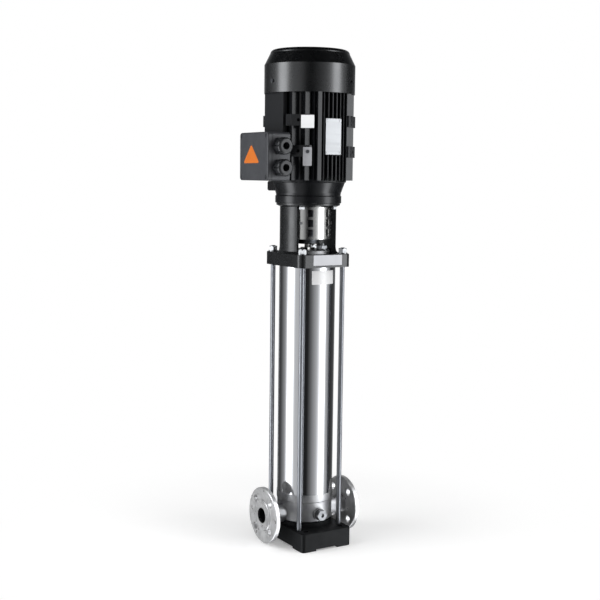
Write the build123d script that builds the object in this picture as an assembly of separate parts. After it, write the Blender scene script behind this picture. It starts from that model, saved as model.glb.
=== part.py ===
"""Vertical in-line multistage pump with its electric motor.

Row frame: +Z up, origin at the middle of the underside of the base, X along the
two ports (inlet on -X, outlet on +X), -Y towards the drain plug. Millimetres.
"""
from build123d import *
import os
from math import cos, degrees, radians, sin, sqrt

# ---------------------------------------------------------------- driving sizes
# clearances
slip = 0.3            # between pieces that slide together or lie close
thread_gap = 0.05     # between a screw and its tapped hole
bearing_gap = 0.03    # running fit of a shaft in a bush

# cast base
base_x = 142.0
base_y = 220.0
base_height = 47.0
base_corner_r = 9.0
base_edge_r = 3.0
base_wall = 9.0
base_roof = 12.0
base_rib = 8.0
skirt_gap = 4.5       # height of the skirt above the floor, between the feet
foot_x = 40.0
foot_y = 48.0
pad_height = 11.0     # round seat that carries the pump chamber
anchor_x = 100.0      # spacing of the foundation bolts
anchor_y = 180.0
anchor_hole_r = 7.0

# ports and loose flanges (DN 32)
port_height = 75.0
port_to_port = 250.0
port_bore_r = 19.0
nozzle_wall = 5.0
nozzle_inner_end = 54.0   # distance from the pump's axis at which each port's bore begins
bore_relief = 1.0     # run-out groove at the inner end of each bore
collar_r = 39.0
collar_thick = 6.0
collar_proud = 2.5    # raised face ahead of the loose flange
flange_r = 70.0
flange_thick = 12.0
flange_pcd = 100.0
flange_holes = 4
flange_hole_r = 9.0
flange_edge = 1.5

# pump chamber, the stainless casting with both ports
chamber_r = 69.5
chamber_height = 70.0
rim_r = 71.0
rim_height = 18.0
chamber_floor = 6.0
partition_height = 42.0   # top of the partition above the base's pad
partition_thick = 7.0
suction_eye_r = 26.0
drain_height = 79.0
drain_boss_r = 16.0
drain_boss_reach = 75.0
drain_thread_r = 10.0
drain_hex = 24.0

# outer sleeve and its seals
sleeve_r = 70.0
sleeve_wall = 3.0
sleeve_length = 572.0
spigot_height = 10.0
o_ring_d = 3.4

# tie rods between base and stool
rod_r = 6.0
rod_x = 58.0
rod_y = 70.6
rod_depth = 26.0      # threaded length in the base
rod_hole_r = 6.75
washer_thick = 2.5
washer_r = 12.0
nut_hex = 19.0
nut_height = 10.8
rod_above_nut = 1.5

# pump head cover
cover_rim_r = 69.7
cover_plate = 14.0
cover_hub_r = 55.5
cover_hub_height = 26.0
seal_bore_r = 20.0
priming_radius = 40.0
priming_angle = -60.0
priming_thread_r = 8.0
priming_hex = 24.0

# motor stool
stool_plate_x = 148.0
stool_plate_y = 174.0
stool_plate_thick = 32.0
stool_corner_r = 16.0
pillar_r = 70.0
pillar_wall = 12.0
pillar_half_angle = 36.0
window_height = 114.0
stool_ring = 9.0
stool_ring_r = 79.0
motor_spigot_r = 55.0
motor_spigot = 3.5
motor_pcd = 130.0
motor_bolt_r = 4.0

# coupling guards
guard_sheet = 1.2
guard_height = 79.0
guard_slots = 3
guard_slot_height = 18.0
guard_slot_pitch = 24.0
guard_slot_angle = 13.0
guard_slot_at = 25.0
guard_lap = 4.5       # degrees that a guard reaches behind each pillar
guard_screw_r = 2.0

# coupling
coupling_r = 27.0
coupling_length = 92.0
coupling_split = 1.2
pump_shaft_r = 8.0
motor_shaft_r = 14.0
motor_shaft_reach = 60.0
coupling_screw_r = 4.0
coupling_pin_r = 3.0

# hydraulic stack
stages = 12
suction_cup_height = 18.0
top_piece_room = 54.0     # from the last stage to the upper end of the sleeve
annulus = 9.0         # water's way back down between the stack and the sleeve
annulus_step = 2.5    # by which the castings' bores are wider than the stack
bowl_wall = 1.6
bowl_eye_r = 22.0
impeller_gap = 10.0   # between an impeller's rim and its bowl's outside
impeller_eye_r = 20.0
impeller_width = 12.0
impeller_sheet = 1.6
impeller_blades = 5
impeller_hub_r = 13.0
bush_wall = 3.0
bush_length = 12.0
bushed_stages = (2, 6, 10)
vane_level = 25.0     # height of the return vanes in a stage
impeller_level = 6.0  # height of an impeller in its stage

# motor
motor_flange_r = 82.0
motor_flange_thick = 19.0
shield_height = 37.0
frame_length = 209.0
frame_r = 94.0
frame_wall = 9.0
fin_height = 14.0
fin_thick = 2.6
fin_pitch = 11.5
fins_each_side = 4
wide_rib_at = -35.8   # broad rib among the fins of the two Y sides
wide_rib_thick = 10.5
corner_rib_thick = 13.0
flat_width = 89.6     # plain flat on the terminal box's side
lug_width = 64.0
lug_height = 27.0
lug_levels = (69.5, 142.5)
lug_thread_r = 4.0
lug_thread_depth = 14.0
stator_length = 120.0
stator_start = 45.0
stator_depth = 31.0
slot_depth = 18.0
stator_slots = 12
air_gap = 0.5
winding_reach = 20.0
bearing_r = 36.0
bearing_bore_r = 15.0
bearing_width = 19.0
ball_r = 6.0
balls = 8

# fan and fan cover
fan_cover_lap = 3.5   # by which the cover stands out beyond the fins
fan_cover_wall = 2.0
fan_cover_straight = 69.0
fan_cover_cone = 28.0
fan_cover_taper = 14.0
fan_cover_height = 106.0
fan_cover_round = 11.0
grille_rings = 3
grille_sectors = 6
grille_first_r = 20.0
grille_slot = 14.0
grille_bar = 7.0
cover_screws_at = (185, 305, 65)
cover_screw_level = 27.0
cover_screw_r = 2.5
fan_tip_gap = 23.5    # between the fan's blades and the cover's outside
fan_hub_r = 20.0
fan_shaft_r = 12.0
fan_blades = 7
fan_depth = 32.0

# terminal box
box_stand_off = 1.0   # its back against the motor frame's radius
box_depth = 49.0
box_width = 140.0
box_height = 115.0
box_floor = -2.0      # its lower edge against the lower end of the motor frame
box_wall = 5.0
box_corner_r = 8.0
lid_depth = 12.0
gasket_thick = 1.0
gland_levels = (31.0, 82.0)
gland_at = 27.0       # from the back of the box to the gland axis
gland_hex = 38.0
gland_thread_r = 16.0
gland_nut_r = 20.5
gland_nut_length = 19.0
gland_nut_round = 6.5
gland_mouth_r = 8.8
gland_seal_r = 11.4
gland_bore_r = 8.0
lid_screw_r = 2.5
lid_screw_inset = 8.5

# rating plate
plate_x = 43.0
plate_z = 85.0
plate_level = 104.5
plate_offset = 3.0
plate_thick = 0.8
plate_sink = 2.0      # depth of its seat below the fins' tips

# ---------------------------------------------------------------- levels along Z
pad_top = base_height + pad_height
rim_top = pad_top + chamber_height
sleeve_top = rim_top + sleeve_length
plate_top = sleeve_top + stool_plate_thick
hub_top = sleeve_top + cover_plate + cover_hub_height
stool_top = plate_top + window_height + stool_ring
shield_base = stool_top
frame_base = shield_base + motor_flange_thick + shield_height
frame_top = frame_base + frame_length
motor_shaft_end = stool_top - motor_shaft_reach
pump_shaft_end = motor_shaft_end - 5.0
coupling_base = stool_top - 9.0 - coupling_length
guard_top = plate_top + window_height
guard_mid = guard_top - guard_height / 2
nozzle_r = port_bore_r + nozzle_wall
collar_back = port_to_port / 2 - collar_thick
flange_front = port_to_port / 2 - collar_proud
sleeve_bore_r = sleeve_r - sleeve_wall
spigot_r = sleeve_bore_r - slip
bowl_r = sleeve_bore_r - annulus
casting_bore_r = bowl_r + annulus_step
impeller_r = bowl_r - impeller_gap
bush_r = impeller_hub_r + slip + bush_wall
partition_top = pad_top + partition_height
stack_base = partition_top
first_stage = stack_base + suction_cup_height
stage_pitch = (sleeve_top - top_piece_room - first_stage) / stages
pillar_bore_r = pillar_r - pillar_wall
guard_outer_r = pillar_bore_r - slip
guard_screw_angles = [mid + sign * (pillar_half_angle + 5.5) for mid in (0, 180) for sign in (-1, 1)]
fin_tip_r = frame_r + fin_height
corner_rib_face = frame_r - 29.0
corner_rib_reach = frame_r - 6.2
flat_face = frame_r + 6.8
lug_face = frame_r + 16.0
shield_top_r = frame_r - 1.0
stator_bore_r = frame_r - frame_wall - stator_depth
fan_cover_r = fin_tip_r + fan_cover_lap
fan_cover_top_r = fan_cover_r - fan_cover_taper
fan_r = fan_cover_r - fan_tip_gap
box_face_x = frame_r + box_stand_off
stator_base = frame_base + stator_start
drive_bearing_base = shield_base + 12.0
fan_bearing_base = frame_top - 6.0
rotor_r = stator_bore_r - air_gap
cover_base = frame_top
fan_base = frame_top + 24.0
box_z = frame_base + box_floor
box_mid_z = box_z + box_height / 2
box_front = box_face_x + box_depth
priming_x = priming_radius * cos(radians(priming_angle))
priming_y = priming_radius * sin(radians(priming_angle))


# ---------------------------------------------------------------- helpers
def tube(r_out, r_in, z_low, z_high):
    """Upright ring between two levels."""
    face = Circle(r_out) - Circle(r_in)
    return extrude(Plane.XY.offset(z_low) * face, z_high - z_low)


def disc(radius, z_low, z_high):
    """Upright solid cylinder between two levels."""
    return extrude(Plane.XY.offset(z_low) * Circle(radius), z_high - z_low)


def block(x_low, x_high, y_low, y_high, z_low, z_high):
    """Box given by its limits."""
    size = (x_high - x_low, y_high - y_low, z_high - z_low)
    middle = ((x_low + x_high) / 2, (y_low + y_high) / 2, (z_low + z_high) / 2)
    return Pos(*middle) * Box(*size)


def turned(points):
    """Solid of revolution about Z from (radius, level) points."""
    return revolve(Plane.XZ * make_face(Polyline(*points, close=True)), Axis.Z)


def rod_along(axis_plane, radius, near, far):
    """Cylinder along a plane's normal, from one offset to another."""
    return extrude(axis_plane.offset(near) * Circle(radius), far - near)


def hex_prism(axis_plane, across_flats, near, far):
    """Hexagonal prism along a plane's normal."""
    face = RegularPolygon(across_flats / 2, 6, major_radius=False)
    return extrude(axis_plane.offset(near) * face, far - near)


def ring_sector(r_out, r_in, z_low, z_high, mid_angle, half_angle):
    """Part of a ring centred on an angle about Z."""
    reach = 2 * r_out
    a, b = radians(mid_angle - half_angle), radians(mid_angle + half_angle)
    m = radians(mid_angle)
    wedge = Polyline((0, 0), (reach * cos(a), reach * sin(a)), (reach * cos(m), reach * sin(m)),
                     (reach * cos(b), reach * sin(b)), close=True)
    face = (Circle(r_out) - Circle(r_in)) & make_face(wedge)
    return extrude(Plane.XY.offset(z_low) * face, z_high - z_low)


def radial_plane(angle, level):
    """Plane whose normal points outwards from the Z axis at an angle and a level."""
    a = radians(angle)
    return Plane(origin=(0, 0, level), x_dir=(-sin(a), cos(a), 0), z_dir=(cos(a), sin(a), 0))


def up_plane(x, y):
    """Plane whose normal is +Z through (x, y)."""
    return Plane(origin=(x, y, 0))


def corners(half_x, half_y):
    """The four points (+-x, +-y)."""
    return [(sx * half_x, sy * half_y) for sx in (-1, 1) for sy in (-1, 1)]


def group(solids):
    """Separate solids kept side by side in one node."""
    return Compound(children=[s for item in solids for s in item.solids()])


# ---------------------------------------------------------------- base
def base_frame():
    outline = RectangleRounded(base_x, base_y, base_corner_r)
    body = extrude(Plane.XY.offset(skirt_gap) * outline, base_height - skirt_gap)
    body = fillet(body.faces().sort_by(Axis.Z)[-1].edges(), base_edge_r)
    feet = extrude(outline, skirt_gap)
    half_x, half_y = base_x / 2, base_y / 2
    cross = block(foot_x - half_x, half_x - foot_x, -half_y, half_y, 0, skirt_gap)
    cross += block(-half_x, half_x, foot_y - half_y, half_y - foot_y, 0, skirt_gap)
    body += feet - cross
    body += disc(rim_r, base_height, pad_top)
    for sx, sy in corners(1, 1):
        near, ceiling = base_rib / 2, base_height - base_roof
        wide = block(near, half_x - base_wall, near, half_y - foot_y - 3, 0, ceiling)
        narrow = block(near, half_x - foot_x - 3, near, half_y - base_wall, 0, ceiling)
        pocket = wide + narrow
        pocket = fillet(pocket.edges().filter_by(Axis.Z), 5)
        body -= mirrored_to(pocket, sx, sy)
    for x, y in corners(anchor_x / 2, anchor_y / 2):
        body -= rod_along(up_plane(x, y), anchor_hole_r, 0, base_height)
    for x, y in corners(rod_x, rod_y):
        hole_floor = base_height - rod_depth - 2
        body -= rod_along(up_plane(x, y), rod_r + thread_gap, hole_floor, pad_top)
    for side in (-1, 1):
        body -= rod_along(port_plane(side), nozzle_r + slip, nozzle_inner_end - 4, base_x)
    return body


def mirrored_to(shape, sx, sy):
    """Mirror a shape made in the +X +Y quarter into another quarter."""
    if sx < 0:
        shape = mirror(shape, Plane.YZ)
    if sy < 0:
        shape = mirror(shape, Plane.XZ)
    return shape


# ---------------------------------------------------------------- chamber and ports
def o_ring_groove(body, level, radius):
    """Square groove for an O-ring round a spigot."""
    depth = o_ring_d + 0.1
    return body - tube(radius + 5, radius - depth + slip, level - 0.6 * o_ring_d, level + 0.6 * o_ring_d)


def port_plane(side):
    """Plane whose normal is a port's axis, pointing out of the pump on that side."""
    return Plane(origin=(0, 0, port_height), z_dir=(side, 0, 0))


def drain_plane():
    """Plane whose normal is the drain plug's axis."""
    return Plane(origin=(0, 0, drain_height), x_dir=(1, 0, 0), z_dir=(0, -1, 0))


def nozzle_gusset(side):
    """Small web above a nozzle's root."""
    web = block(chamber_r - 4, chamber_r + 12, -3, 3, port_height, port_height + nozzle_r + 9)
    web = chamfer(web.edges().filter_by(Axis.Y).sort_by(Axis.Z)[-1], 12, 11)
    return mirrored_to(web, side, 1)


def pump_chamber():
    spigot_top = rim_top + spigot_height
    neck = rim_top - rim_height
    body = turned([(0, pad_top), (chamber_r - 3, pad_top), (chamber_r, pad_top + 3), (chamber_r, neck - 2),
                   (rim_r, neck), (rim_r, rim_top), (spigot_r, rim_top), (spigot_r, spigot_top - 1),
                   (spigot_r - 1, spigot_top), (0, spigot_top)])
    body += rod_along(drain_plane(), drain_boss_r, chamber_r - 20, drain_boss_reach)
    for side in (-1, 1):
        body += rod_along(port_plane(side), nozzle_r, nozzle_inner_end - 3.7, collar_back) + nozzle_gusset(side)
    floor, ceiling = pad_top + chamber_floor, partition_top - partition_thick
    inner = casting_bore_r
    wall_x = suction_eye_r + 5
    suction_well = disc(inner, floor, ceiling) & block(-inner, wall_x, -inner, inner, floor, ceiling)
    duct_x = wall_x + partition_thick
    outlet_duct = disc(inner, floor, partition_top) & block(duct_x, inner, -inner, inner, floor, partition_top)
    body -= suction_well
    body -= outlet_duct
    body -= disc(inner, partition_top, spigot_top)
    body -= disc(suction_eye_r, ceiling, partition_top)
    for side in (-1, 1):
        axis = port_plane(side)
        body += rod_along(axis, nozzle_r, nozzle_inner_end, chamber_r)
        body -= rod_along(axis, port_bore_r, nozzle_inner_end, collar_back)
        body -= rod_along(axis, port_bore_r + bore_relief, nozzle_inner_end - bore_relief, nozzle_inner_end)
    body -= rod_along(drain_plane(), drain_thread_r + thread_gap, chamber_r - 30, drain_boss_reach)
    return o_ring_groove(body, rim_top + spigot_height / 2, spigot_r)


def port_collar(side):
    """Lap ring on the end of a nozzle; the pipe's gasket bears on it."""
    x_axis = port_plane(side)
    ring = rod_along(x_axis, collar_r, collar_back, port_to_port / 2)
    outer = ring.edges().filter_by(GeomType.CIRCLE)
    ring = chamfer(outer, 1.0)
    for groove_r in (25.5, 30.0, 34.5):
        cut = Circle(groove_r + 0.6) - Circle(groove_r - 0.6)
        ring -= extrude(x_axis.offset(port_to_port / 2 - 0.6) * cut, 0.6)
    return ring - rod_along(x_axis, port_bore_r, collar_back, port_to_port / 2)


def loose_flange(side):
    x_axis = port_plane(side)
    back = flange_front - flange_thick
    body = rod_along(x_axis, flange_r, back, flange_front)
    body = chamfer(body.edges().filter_by(GeomType.CIRCLE), flange_edge)
    body -= rod_along(x_axis, nozzle_r + slip, back, flange_front)
    body -= rod_along(x_axis, collar_r + slip, collar_back, flange_front)
    for k in range(flange_holes):
        a = radians(360 / flange_holes * (k + 0.5))
        spot = x_axis.offset(back) * Pos(flange_pcd / 2 * cos(a), flange_pcd / 2 * sin(a))
        body -= extrude(spot * Circle(flange_hole_r), flange_thick)
    return body


def drain_plug():
    axis = drain_plane()
    seat = drain_boss_reach + 2
    plug = rod_along(axis, drain_thread_r, drain_boss_reach - 13, seat)
    plug += rod_along(axis, drain_thread_r + 4, seat, seat + 2.5)
    plug += hex_prism(axis, drain_hex, seat + 2.5, seat + 10)
    return plug - rod_along(axis, 5, seat + 6, seat + 10)


def drain_washer():
    axis = drain_plane()
    ring = rod_along(axis, drain_thread_r + 4.5, drain_boss_reach, drain_boss_reach + 2)
    return ring - rod_along(axis, drain_thread_r + slip, drain_boss_reach, drain_boss_reach + 2)


# ---------------------------------------------------------------- sleeve and tie rods
def outer_sleeve():
    return tube(sleeve_r, sleeve_bore_r, rim_top, sleeve_top)


def sleeve_o_rings():
    ring_r = sleeve_bore_r - o_ring_d / 2 - 0.05
    levels = (rim_top + spigot_height / 2, sleeve_top - spigot_height / 2)
    return group([Pos(0, 0, z) * Torus(ring_r, o_ring_d / 2) for z in levels])


def tie_rods():
    low = base_height - rod_depth
    high = plate_top + washer_thick + nut_height + rod_above_nut
    rods = []
    for x, y in corners(rod_x, rod_y):
        rod = rod_along(up_plane(x, y), rod_r, low, high)
        rods.append(chamfer(rod.edges().filter_by(GeomType.CIRCLE), 1.2))
    return group(rods)


def tie_rod_washers():
    rings = []
    for x, y in corners(rod_x, rod_y):
        ring = rod_along(up_plane(x, y), washer_r, plate_top, plate_top + washer_thick)
        rings.append(ring - rod_along(up_plane(x, y), rod_hole_r, plate_top, plate_top + washer_thick))
    return group(rings)


def tie_rod_nuts():
    low, nuts = plate_top + washer_thick, []
    for x, y in corners(rod_x, rod_y):
        nut = hex_prism(up_plane(x, y), nut_hex, low, low + nut_height)
        cone = Pos(x, y, low + nut_height - 6) * Cone(nut_hex * 0.5 + 6, nut_hex * 0.5, 12)
        nuts.append((nut & cone) - rod_along(up_plane(x, y), rod_r + thread_gap, low, low + nut_height))
    return group(nuts)


# ---------------------------------------------------------------- head cover
def head_cover():
    shelf = sleeve_top + cover_plate
    low = sleeve_top - spigot_height
    roof = sleeve_top + 6
    inner_r = casting_bore_r
    body = turned([(spigot_r - 1, low), (spigot_r, low + 1), (spigot_r, sleeve_top), (cover_rim_r, sleeve_top),
                   (cover_rim_r, shelf), (cover_hub_r, shelf), (cover_hub_r, hub_top - 2),
                   (cover_hub_r - 2, hub_top), (seal_bore_r + slip, hub_top), (seal_bore_r + slip, shelf),
                   (seal_bore_r - 4, shelf), (seal_bore_r - 4, roof), (inner_r, roof), (inner_r, low)])
    body -= rod_along(up_plane(priming_x, priming_y), priming_thread_r + thread_gap, roof, hub_top)
    return o_ring_groove(body, sleeve_top - spigot_height / 2, spigot_r)


def priming_washer():
    axis = up_plane(priming_x, priming_y)
    ring = rod_along(axis, priming_hex / 2 + 1.5, hub_top, hub_top + 1.5)
    return ring - rod_along(axis, priming_thread_r + slip, hub_top, hub_top + 1.5)


def priming_plug():
    axis, seat = up_plane(priming_x, priming_y), hub_top + 1.5
    plug = rod_along(axis, priming_thread_r, hub_top - 15, seat)
    plug += rod_along(axis, priming_hex / 2 + 1, seat, seat + 2)
    plug += hex_prism(axis, priming_hex, seat + 2, seat + 9)
    return plug - rod_along(axis, 3 + bearing_gap, hub_top - 12, seat + 9)


def vent_screw():
    """Small screw in the priming plug that lets the air out."""
    axis, seat = up_plane(priming_x, priming_y), hub_top + 10.5
    screw = rod_along(axis, 3, hub_top - 8, seat)
    screw += rod_along(axis, 6.5, seat, seat + 5)
    slot = block(priming_x - 8, priming_x + 8, priming_y - 0.9, priming_y + 0.9, seat + 3, seat + 5)
    return screw - slot


# ---------------------------------------------------------------- motor stool and guards
def motor_stool():
    plate = extrude(Plane.XY.offset(sleeve_top) * RectangleRounded(stool_plate_x, stool_plate_y, stool_corner_r),
                    stool_plate_thick)
    plate = fillet(plate.faces().sort_by(Axis.Z)[-1].edges(), 2)
    ring_low = plate_top + window_height
    pillars = ring_sector(pillar_r, pillar_bore_r, plate_top, ring_low, 180, pillar_half_angle)
    pillars += ring_sector(pillar_r, pillar_bore_r, plate_top, ring_low, 0, pillar_half_angle)
    foot = turned([(pillar_bore_r, plate_top), (pillar_r + 6, plate_top), (pillar_r + 1.5, plate_top + 5),
                   (pillar_r, plate_top + 14), (pillar_bore_r, plate_top + 14)])
    reach = pillar_r + 20
    for mid in (0, 180):
        span = ring_sector(reach, 1, plate_top, plate_top + 14, mid, pillar_half_angle)
        pillars += foot & span & block(-stool_plate_x / 2, stool_plate_x / 2, -reach, reach, 0, plate_top + 14)
    crown = turned([(pillar_bore_r, ring_low), (pillar_r, ring_low), (stool_ring_r, ring_low + 4),
                    (stool_ring_r, stool_top), (motor_spigot_r + slip, stool_top),
                    (motor_spigot_r + slip, stool_top - motor_spigot - slip),
                    (pillar_bore_r, stool_top - motor_spigot - slip)])
    body = plate + pillars + crown
    recess_r, hole_r = cover_rim_r + slip, cover_hub_r + 2 * slip
    body -= disc(recess_r, sleeve_top, sleeve_top + cover_plate)
    body -= disc(hole_r, sleeve_top + cover_plate, plate_top)
    for x, y in corners(rod_x, rod_y):
        body -= rod_along(up_plane(x, y), rod_hole_r, sleeve_top, plate_top + 20)
    for angle in guard_screw_angles:
        body += guard_lug(angle)
    for x, y in motor_bolt_points():
        body -= rod_along(up_plane(x, y), motor_bolt_r + 0.5, ring_low - 1, stool_top)
    return body


def guard_lug(angle):
    """Cast lug behind the guard's edge, joined to the pillar's inner side."""
    outer = guard_outer_r - guard_sheet - slip
    toward = -1 if (angle % 180) < 90 else 1
    tongue = ring_sector(outer, outer - 6, guard_mid - 7, guard_mid + 7, angle + toward * 3, 8)
    root_angle = angle + toward * (5.5 + guard_lap + 4)
    root = ring_sector(pillar_bore_r + 1, outer - 6, guard_mid - 7, guard_mid + 7, root_angle, 3.2)
    hole = rod_along(radial_plane(angle, guard_mid), guard_screw_r + thread_gap, outer - 8, outer + 2)
    return (tongue + root) - hole


def motor_bolt_points():
    return corners(motor_pcd / 2 * cos(radians(45)), motor_pcd / 2 * sin(radians(45)))


def stool_bolts():
    """Screws from below that hold the motor flange on the stool."""
    low, bolts = plate_top + window_height, []
    for x, y in motor_bolt_points():
        axis = up_plane(x, y)
        bolt = rod_along(axis, motor_bolt_r, low, stool_top + 13)
        bolts.append(bolt + hex_prism(axis, 13, low - 5.5, low))
    return group(bolts)


def coupling_guard(facing):
    outer = guard_outer_r
    half = 90 - pillar_half_angle + guard_lap
    low = guard_top - guard_height
    body = ring_sector(outer, outer - guard_sheet, low, guard_top - slip, facing, half)
    for column in (-1, 1):
        for row in range(guard_slots):
            z = guard_mid + (row - (guard_slots - 1) / 2) * guard_slot_pitch
            body -= ring_sector(outer + 5, outer - 5, z - guard_slot_height / 2, z + guard_slot_height / 2,
                                facing + column * guard_slot_at, guard_slot_angle / 2)
    for angle in guard_screw_angles:
        body -= rod_along(radial_plane(angle, guard_mid), guard_screw_r + slip, outer - 5, outer + 5)
    return body


def guard_screws():
    outer, screws = guard_outer_r, []
    for angle in guard_screw_angles:
        axis = radial_plane(angle, guard_mid)
        shank = rod_along(axis, guard_screw_r, outer - guard_sheet - slip - 6, outer + slip)
        screws.append(shank + rod_along(axis, 3.6, outer + slip, outer + slip + 2.2))
    return group(screws)


# ---------------------------------------------------------------- coupling and shaft seal
def coupling_half(side):
    """Half shell; the halves clamp the motor shaft above and the pump shaft below."""
    body = disc(coupling_r, coupling_base, coupling_base + coupling_length)
    body = chamfer(body.edges().filter_by(GeomType.CIRCLE), 2)
    step = pump_shaft_end + 2
    body -= disc(pump_shaft_r + thread_gap, coupling_base, step)
    body -= disc(motor_shaft_r + thread_gap, step, coupling_base + coupling_length)
    half = coupling_split / 2
    body &= block(-coupling_r, coupling_r, min(side * half, side * coupling_r), max(side * half, side * coupling_r),
                  coupling_base, coupling_base + coupling_length)
    for x, z in coupling_screw_points():
        axis = Plane(origin=(x, 0, z), x_dir=(1, 0, 0), z_dir=(0, -1, 0))
        body -= rod_along(axis, coupling_screw_r + thread_gap, -coupling_r, coupling_r)
        body -= rod_along(axis, 7.0, 10, coupling_r + 5)
        body -= rod_along(axis, 7.0, -coupling_r - 5, -16)
    key_top = coupling_base + coupling_length
    body -= block(-4.1, 4.1, motor_shaft_r - 3, motor_shaft_r + 3.3, step + 8, key_top)
    pin_axis = Plane(origin=(0, 0, coupling_base + 12), z_dir=(1, 0, 0))
    return body - rod_along(pin_axis, coupling_pin_r + thread_gap, -pump_shaft_r - 4.5, pump_shaft_r + 4.5)


def coupling_screw_points():
    inset = coupling_r - 7.2
    return [(sx * inset, coupling_base + f * coupling_length) for sx in (-1, 1) for f in (0.27, 0.76)]


def coupling_screws():
    screws = []
    for x, z in coupling_screw_points():
        axis = Plane(origin=(x, 0, z), x_dir=(1, 0, 0), z_dir=(0, -1, 0))
        screw = rod_along(axis, coupling_screw_r, -15.5, 10) + rod_along(axis, 6.5, 10, 17.5)
        screws.append(screw - hex_prism(axis, 6, 13, 17.5))
    return group(screws)


def coupling_pin():
    axis = Plane(origin=(0, 0, coupling_base + 12), z_dir=(1, 0, 0))
    return rod_along(axis, coupling_pin_r, -pump_shaft_r - 4, pump_shaft_r + 4)


def seal_carrier():
    """Cartridge that screws into the head cover and holds the stationary seal face."""
    shelf = sleeve_top + cover_plate
    body = disc(seal_bore_r, shelf, hub_top)
    body += hex_prism(up_plane(0, 0), 2 * seal_bore_r - 5, hub_top, hub_top + 5)
    bore = pump_shaft_r + 1.2
    body -= disc(bore, shelf, hub_top + 5)
    return body - disc(bore + 5, shelf, shelf + 14)


def seal_rotating_part():
    """Rotating seal face with its driver and spring housing, clamped on the shaft."""
    low = sleeve_top - 18
    body = tube(pump_shaft_r + 5, pump_shaft_r + bearing_gap, low, low + 22)
    face_top = sleeve_top + cover_plate - slip
    body += tube(pump_shaft_r + 4, pump_shaft_r + bearing_gap, low + 22, face_top)
    return body


# ---------------------------------------------------------------- hydraulic stack
def suction_piece():
    """Cup under the first stage that leads water up from the suction eye."""
    low, high = stack_base, first_stage
    return turned([(suction_eye_r + 1, low), (suction_eye_r + 9, low), (suction_eye_r + 9, low + 3),
                   (bowl_r, high - 6), (bowl_r, high), (bowl_r - bowl_wall, high),
                   (bowl_r - bowl_wall, high - 5), (suction_eye_r + 6, low + 4.5), (suction_eye_r + 1, low + 3)])


def stage_base(k):
    return first_stage + k * stage_pitch


def stage_bowl(k):
    """One pump stage's housing: a pressed cup with the eye of the next impeller in its floor."""
    low, high = stage_base(k), stage_base(k) + stage_pitch
    inner = bowl_r - bowl_wall
    floor = low + bowl_wall
    return turned([(bowl_eye_r, low), (bowl_r, low), (bowl_r, high), (inner, high), (inner, floor),
                   (bowl_eye_r, floor)])


def stage_bowls():
    return group([stage_bowl(k) for k in range(stages)])


def guide_vanes(k):
    """Return vanes above an impeller, a disc with ribs that carries the shaft bush."""
    disc_low = stage_base(k) + vane_level
    bore = bush_r if k in bushed_stages else impeller_hub_r + 1
    body = tube(bowl_r - bowl_wall - slip, bore, disc_low, disc_low + bowl_wall)
    if k in bushed_stages:
        body += tube(bush_r + 2, bush_r, disc_low, disc_low + bush_length)
    high = stage_base(k) + stage_pitch - slip
    for n in range(5):
        rib = block(bush_r + 8, bowl_r - bowl_wall - 2, -0.8, 0.8, disc_low, high)
        body += Rot(0, 0, 72 * n + 20) * rib
    return body


def return_vanes():
    return group([guide_vanes(k) for k in range(stages)])


def impeller_blade(z_low, z_high):
    """Backward-curved blade: a thin arc whose circle passes beside the shaft."""
    bend_r = 0.85 * impeller_r
    arc = Pos(0, bend_r + 6) * (Circle(bend_r + impeller_sheet / 2) - Circle(bend_r - impeller_sheet / 2))
    span = Circle(impeller_r - 0.4) - Circle(impeller_eye_r - 1)
    strip = arc & span & Pos(impeller_r / 2, 0) * Rectangle(impeller_r, 2.2 * impeller_r)
    return extrude(Plane.XY.offset(z_low) * strip, z_high - z_low)


def impeller(k):
    low = stage_base(k) + impeller_level
    high = low + impeller_width
    body = tube(impeller_hub_r, pump_shaft_r + bearing_gap, low, low + stage_pitch)
    body += tube(impeller_r, pump_shaft_r + 1, high - impeller_sheet, high)
    body += tube(impeller_r, impeller_eye_r, low, low + impeller_sheet)
    body += tube(impeller_eye_r + impeller_sheet, impeller_eye_r, low - 4, low)
    blade = impeller_blade(low, high)
    for n in range(impeller_blades):
        body += Rot(0, 0, 360 / impeller_blades * n) * blade
    return body


def impellers():
    return group([impeller(k) for k in range(stages)])


def shaft_bushes():
    """Hard bushes in the return vanes of some stages, which guide the shaft."""
    rings = []
    for k in bushed_stages:
        low = stage_base(k) + vane_level
        rings.append(tube(bush_r - 0.02, impeller_hub_r + bearing_gap, low, low + bush_length))
    return group(rings)


def top_piece():
    """Upper end of the stack; water leaves it through windows into the sleeve's annulus."""
    low = stage_base(stages)
    high = sleeve_top + 6
    body = tube(bowl_r, bowl_r - bowl_wall, low, high)
    for n in range(6):
        body -= Rot(0, 0, 60 * n) * block(bowl_r - 10, bowl_r + 10, -10, 10, low + 4, high - 6)
    return body


def pump_shaft():
    body = disc(pump_shaft_r, stack_base - 6, pump_shaft_end)
    body = chamfer(body.edges().filter_by(GeomType.CIRCLE), 1)
    pin_axis = Plane(origin=(0, 0, coupling_base + 12), z_dir=(1, 0, 0))
    return body - rod_along(pin_axis, coupling_pin_r + thread_gap, -pump_shaft_r, pump_shaft_r)


def shaft_nut():
    """Nut and stop ring under the first impeller."""
    low, high = stack_base - 4, first_stage + impeller_level
    body = hex_prism(up_plane(0, 0), 22, low, low + 10) + disc(impeller_hub_r - 1, low + 10, high)
    return body - disc(pump_shaft_r + thread_gap, low, high)


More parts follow.
